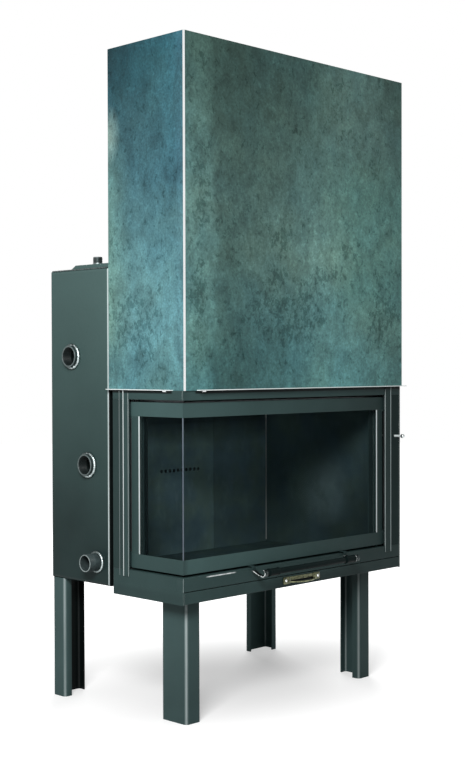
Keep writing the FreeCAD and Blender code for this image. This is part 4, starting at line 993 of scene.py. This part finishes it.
# Black plate behind the bow: a painted shadow between the bow and the drawer front.
pull_shadow_plate = plate("pull_shadow_plate", (PULL_X - 47, -1.2, PULL_Z - 7), (PULL_X + 47, 0, BACK_LEVEL), 0.4)
pull_pieces = [(pull_bow(), bow_brass), (pull_back, brass_finish), (pull_shadow_plate, shadow_black)]
for side, out, screw_out in (("left", -FOOT_OUT, -5), ("right", FOOT_OUT, 5)):
    foot = pull_foot(side + "_pull_foot", PULL_X + out)
    seat = spot(PULL_X + out + screw_out, -3.6, PULL_Z)
    head = screw(side + "_pull_screw", seat, (0, -1, 0), 4, 2.6)
    pull_pieces += [(foot, brass_finish), (head, bright_trim)]
for piece, finish in pull_pieces:
    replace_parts(hand_over(piece, "ash_drawer", finish), "drawer_pull")

# Air knob: a ball with its neck, turned from one piece.

NECK, BALL, BALL_MIDDLE, BALL_RINGS = 3.6, 6.5, 5.5, 11
low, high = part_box("air_knob")
neck_end = Vector(((low[0] + high[0]) / 2, high[1], (low[2] + high[2]) / 2))
ball_rings = [(0, NECK)]
for number in range(1, BALL_RINGS + 1):
    angle = math.pi * (0.18 + 0.8 * number / BALL_RINGS)
    ball_rings.append((BALL_MIDDLE - BALL * math.cos(angle), BALL * math.sin(angle)))
ball = turned("air_ball", neck_end, (0, -1, 0), ball_rings, sides=32)
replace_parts(hand_over(ball, "air_control", polished_chrome), "air_knob")

# Rope seal on the back of the door frame.

SEAL_LOW, SEAL_HIGH, SEAL_IN = 408.75, 821.25, 33.5
SEAL_RIGHT, SEAL_BACK = 817.5, 200
ROPE_THICK, CORNER_LAP, END_LAP = 3.4, 2.5, 3.5
rope_runs = []
for level in (SEAL_LOW, SEAL_HIGH):
    rope_runs += [
        ((SEAL_IN - CORNER_LAP, SEAL_IN, level), (SEAL_RIGHT + END_LAP, SEAL_IN, level)),
        ((SEAL_IN, SEAL_IN - CORNER_LAP, level), (SEAL_IN, SEAL_BACK + END_LAP, level)),
    ]
for x, y in ((SEAL_RIGHT, SEAL_IN), (SEAL_IN, SEAL_BACK)):
    rope_runs.append(((x, y, SEAL_LOW), (x, y, SEAL_HIGH)))
ropes = [
    beaded_rod("seal_rope_%d" % number, spot(*start), spot(*end), ROPE_THICK, 7, 0.12)
    for number, (start, end) in enumerate(rope_runs)
]
rope = hand_over(joined(ropes, "seal_rope"), "door", rope_finish, crease=70)
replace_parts(rope, "door_seal")

# Roller chains from the door over the wheels to the counterweights.

LINK = 8
PLATE_HALF, PLATE_LAP, PLATE_THICK, ROLLER_HALF = 1.9, 0.7, 1.2, 2.1
SHOE_TOP, WHEEL_AXIS, WEIGHT_TOP = 832.5, 1732, 1697
CHAIN_RADIUS = 24.3


def chain_link(name, x, y, z):
    """One pitch of chain: two side plates and a roller between them."""
    parts = [
        plate(name + "_" + side, (at, y - PLATE_HALF, z - PLATE_LAP),
              (at + PLATE_THICK, y + PLATE_HALF, z + LINK + PLATE_LAP), 0.5)
        for side, at in (("near", x - ROLLER_HALF - PLATE_THICK), ("far", x + ROLLER_HALF))
    ]
    rings = [(0, 1.5), (0.6, 1.9), (3.6, 1.9), (4.2, 1.5)]
    parts.append(turned(name + "_roller", spot(x - ROLLER_HALF, y, z + LINK / 2), RIGHTWARDS, rings, sides=8))
    return joined(parts, name)


def chain_run(name, x, y, low, high):
    """Straight run of links."""
    count = round((high - low) / LINK)
    run = chain_link(name, x, y, low)
    press(run, "ARRAY", count=count, use_relative_offset=False, use_constant_offset=True,
          constant_offset_displace=(0, 0, (high - low) / count * MM))
    return run


def chain_arc(name, x, axis_y):
    """Links laid over the wheel."""
    arc = chain_link(name, x, axis_y - CHAIN_RADIUS, WHEEL_AXIS - LINK / 2)
    hold(arc)
    bpy.ops.object.mode_set(mode="EDIT")
    select_all()
    bpy.ops.mesh.spin(steps=9, dupli=True, angle=math.pi, center=spot(x, axis_y, WHEEL_AXIS), axis=RIGHTWARDS)
    bpy.ops.object.mode_set(mode="OBJECT")
    return arc


for side, x, front_y in (("left", 38, 218), ("right", 870, 29)):
    back_y = front_y + 2 * CHAIN_RADIUS
    for name, y, low, body in (
        ("_door_chain", front_y, SHOE_TOP, "door"), ("_weight_chain", back_y, WEIGHT_TOP, side + "_weight"),
    ):
        run = hand_over(chain_run(side + name, x, y, low, WHEEL_AXIS), None, rolled_steel)
        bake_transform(run)
        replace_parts(run, "lift_chains")
    over = chain_arc(side + "_wheel_chain", x, front_y + CHAIN_RADIUS)
    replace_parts(hand_over(over, "boiler", rolled_steel), "lift_chains")

# Clouded joint of the two panes, welds on the hood's lip, and the firebox corner.

GLASS_LOW, GLASS_HIGH = 433, 797
glass_joint = plate("glass_joint", (9, 9, GLASS_LOW), (11.8, 11.8, GLASS_HIGH), 0.7)
hand_over(glass_joint, "door", clouded_glass)

LIP_WELD, LIP_LEVEL = 13 * MM, 864.4
for name, x, y, way in (
    ("front_lip_weld", 62, -6, RIGHTWARDS), ("left_lip_weld", -2.2, 58, BACKWARDS),
):
    start = spot(x, y, LIP_LEVEL)
    bead = beaded_rod(name, start, start + Vector(way) * LIP_WELD, 2.5, 4, 0.3)
    hand_over(bead, "boiler", bright_trim, crease=60)

corner_trim = plate("firebox_corner_trim", (832.6, 491, 365), (836, 494.4, 900), 1)
hand_over(corner_trim, "boiler", pale_corner_paint)

# Strip behind the ash tray, which closes the gap between the base plate and the boiler's bottom.
closing_strip = plate("base_closing_strip", (60, 292.5, 327), (840, 295.4, 338), 0.5)
hand_over(closing_strip, "boiler", inner_paint)

# Weld seams of the boiler and flue collar, and screws of the hood's back and right casing.

TOP_PLATE, SEAM_FRONT, SEAM_BACK = 1195, 302, 538
low, high = (Vector(corner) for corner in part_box("flue_collar"))
seat = Vector(((low.x + high.x) / 2, (low.y + high.y) / 2, (TOP_PLATE + 1) * MM))
seams = [weld_ring("flue_weld", seat, UPWARDS, (high.x - low.x) / 2 / MM + 1.5, 3.2, 90)]
for name, start, end in (
    ("rear_seam", (14, 545), (880, 545)), ("left_seam", (6.5, SEAM_FRONT), (6.5, SEAM_BACK)),
    ("right_seam", (887.5, SEAM_FRONT), (887.5, SEAM_BACK)),
):
    seams.append(beaded_rod(name, spot(*start, TOP_PLATE), spot(*end, TOP_PLATE), 2, 6, 0.18))
for seam in seams:
    welded(seam)

HOOD_BACK, HOOD_TOP_ROW, CASING_FACE = 293.5, 1761, 900
HOOD_SIDES = (18, 890)
hood_seats = [(across, level) for across in HOOD_SIDES for level in (1235, 1370, 1500, 1630)]
hood_seats += [(across, HOOD_TOP_ROW) for across in (18, 236, 454, 672, 890)]
screw_seats = [(spot(across, HOOD_BACK, level), BACKWARDS) for across, level in hood_seats]
for back in (30, 250):
    screw_seats += [(spot(CASING_FACE, back, level), RIGHTWARDS) for level in (350, 600, 846)]
for number, (seat, way) in enumerate(screw_seats):
    head = screw("casing_screw_%02d" % number, seat, way, 4.4, 2.8)
    hand_over(head, "boiler", pipe_steel)

# Raised beads that line the surround's stiles and the door's glass; their pale paint is a painted highlight
# along them.

STILE_LOW, STILE_HIGH = 372, 866
for name, low, high, finish, body in (
    ("left_stile_bead", (-2.4, 227.8, STILE_LOW), (0.4, 230.4, STILE_HIGH), highlight_paint, "boiler"),
    ("left_stile_line", (-1.2, 245.2, STILE_LOW), (0.4, 247.2, STILE_HIGH), faint_highlight_paint, "boiler"),
    ("right_stile_bead", (851, -2.8, STILE_LOW), (853.8, 0.4, STILE_HIGH), dim_highlight_paint, "boiler"),
    ("left_glazing_bead", (7.4, 175.2, GLASS_LOW), (10.1, 177.2, GLASS_HIGH), highlight_paint, "door"),
    ("right_glazing_bead", (795, 7, GLASS_LOW), (798.4, 9.4, GLASS_HIGH), highlight_paint, "door"),
):
    hand_over(plate(name, low, high, 0.9), body, finish)

# Camera: the photograph's place, direction and lens.

CAMERA_PLACE = (-2.7293, -2.682274, 0.932132)
YAW, PITCH, ROLL = math.radians(45.47046), math.radians(-1.07604), math.radians(-0.14837)
lens = bpy.data.cameras.new("photo_camera")
lens.lens = 61.0646
lens.clip_end = 60
camera = bpy.data.objects.new("photo_camera", lens)
stand = Matrix.Translation(CAMERA_PLACE)
for turn, axis in ((-YAW, "Z"), (math.pi / 2 + PITCH, "X"), (ROLL, "Z")):
    stand = stand @ Matrix.Rotation(turn, 4, axis)
camera.matrix_world = stand
scene.collection.objects.link(camera)
scene.camera = camera

# Studio: white floor that keeps the shadow and has a painted shadow under the fireplace, a soft lamp at the
# left front and one behind.


def studio_floor():
    """Floor that is white to the lens but for a painted shadow under the fireplace, and grey to all else."""
    let_go()
    bpy.ops.mesh.primitive_circle_add(vertices=96, radius=12, fill_type="NGON")
    floor = bpy.context.active_object
    floor.name = "studio_floor"
    coat = Finish("studio_floor")
    under = coat.away((0, 0.05, 0), (0.56, 0.4, ANY))
    # Less glow under the fireplace: a painted shadow.
    glow_with_painted_shadow = coat.spread(under, 0.3, 2.2, 0.36, 1, interpolation_type="SMOOTHSTEP")
    glow = coat.add("Emission", {"Strength": glow_with_painted_shadow})
    cloth = coat.add("BsdfDiffuse", {"Color": (0.58, 0.58, 0.58, 1)})
    seen = coat.add("AddShader", {0: cloth.outputs[0], 1: glow.outputs[0]})
    plain = coat.add("BsdfDiffuse", {"Color": (0.4, 0.4, 0.4, 1)})
    surface = coat.add("MixShader", {0: coat.seen_directly(), 1: plain.outputs[0], 2: seen.outputs[0]})
    coat.feed(coat.tree.nodes["Material Output"].inputs["Surface"], surface.outputs[0])
    coat.tree.nodes.remove(coat.shader)
    floor.data.materials.append(coat.material)


def lamp(name, place, target, side, power):
    light = bpy.data.lights.new(name, "AREA")
    light.size = side
    light.energy = power
    holder = bpy.data.objects.new(name, light)
    holder.location = place
    holder.rotation_euler = (Vector(target) - Vector(place)).to_track_quat("-Z", "Y").to_euler()
    holder.visible_camera = False
    scene.collection.objects.link(holder)


def studio_world():
    scene.world = bpy.data.worlds.new("studio")
    scene.world.use_nodes = True
    sky = Nodes(scene.world.node_tree)
    ground = sky.tree.nodes["Background"]
    ground.inputs["Color"].default_value = (1, 1, 1, 1)
    sky.feed(ground.inputs["Strength"], sky.spread(sky.seen_directly(), 0, 1, 0.25, 1))


studio_floor()
studio_world()
lamp("key_lamp", (-2.05, -1.4, 1.85), (-0.35, -0.15, 0.9), 0.8, 75)
lamp("back_lamp", (2.2, 2.4, 2.2), (0, 0, 0.9), 1.6, 70)

scene.view_settings.view_transform = "Standard"
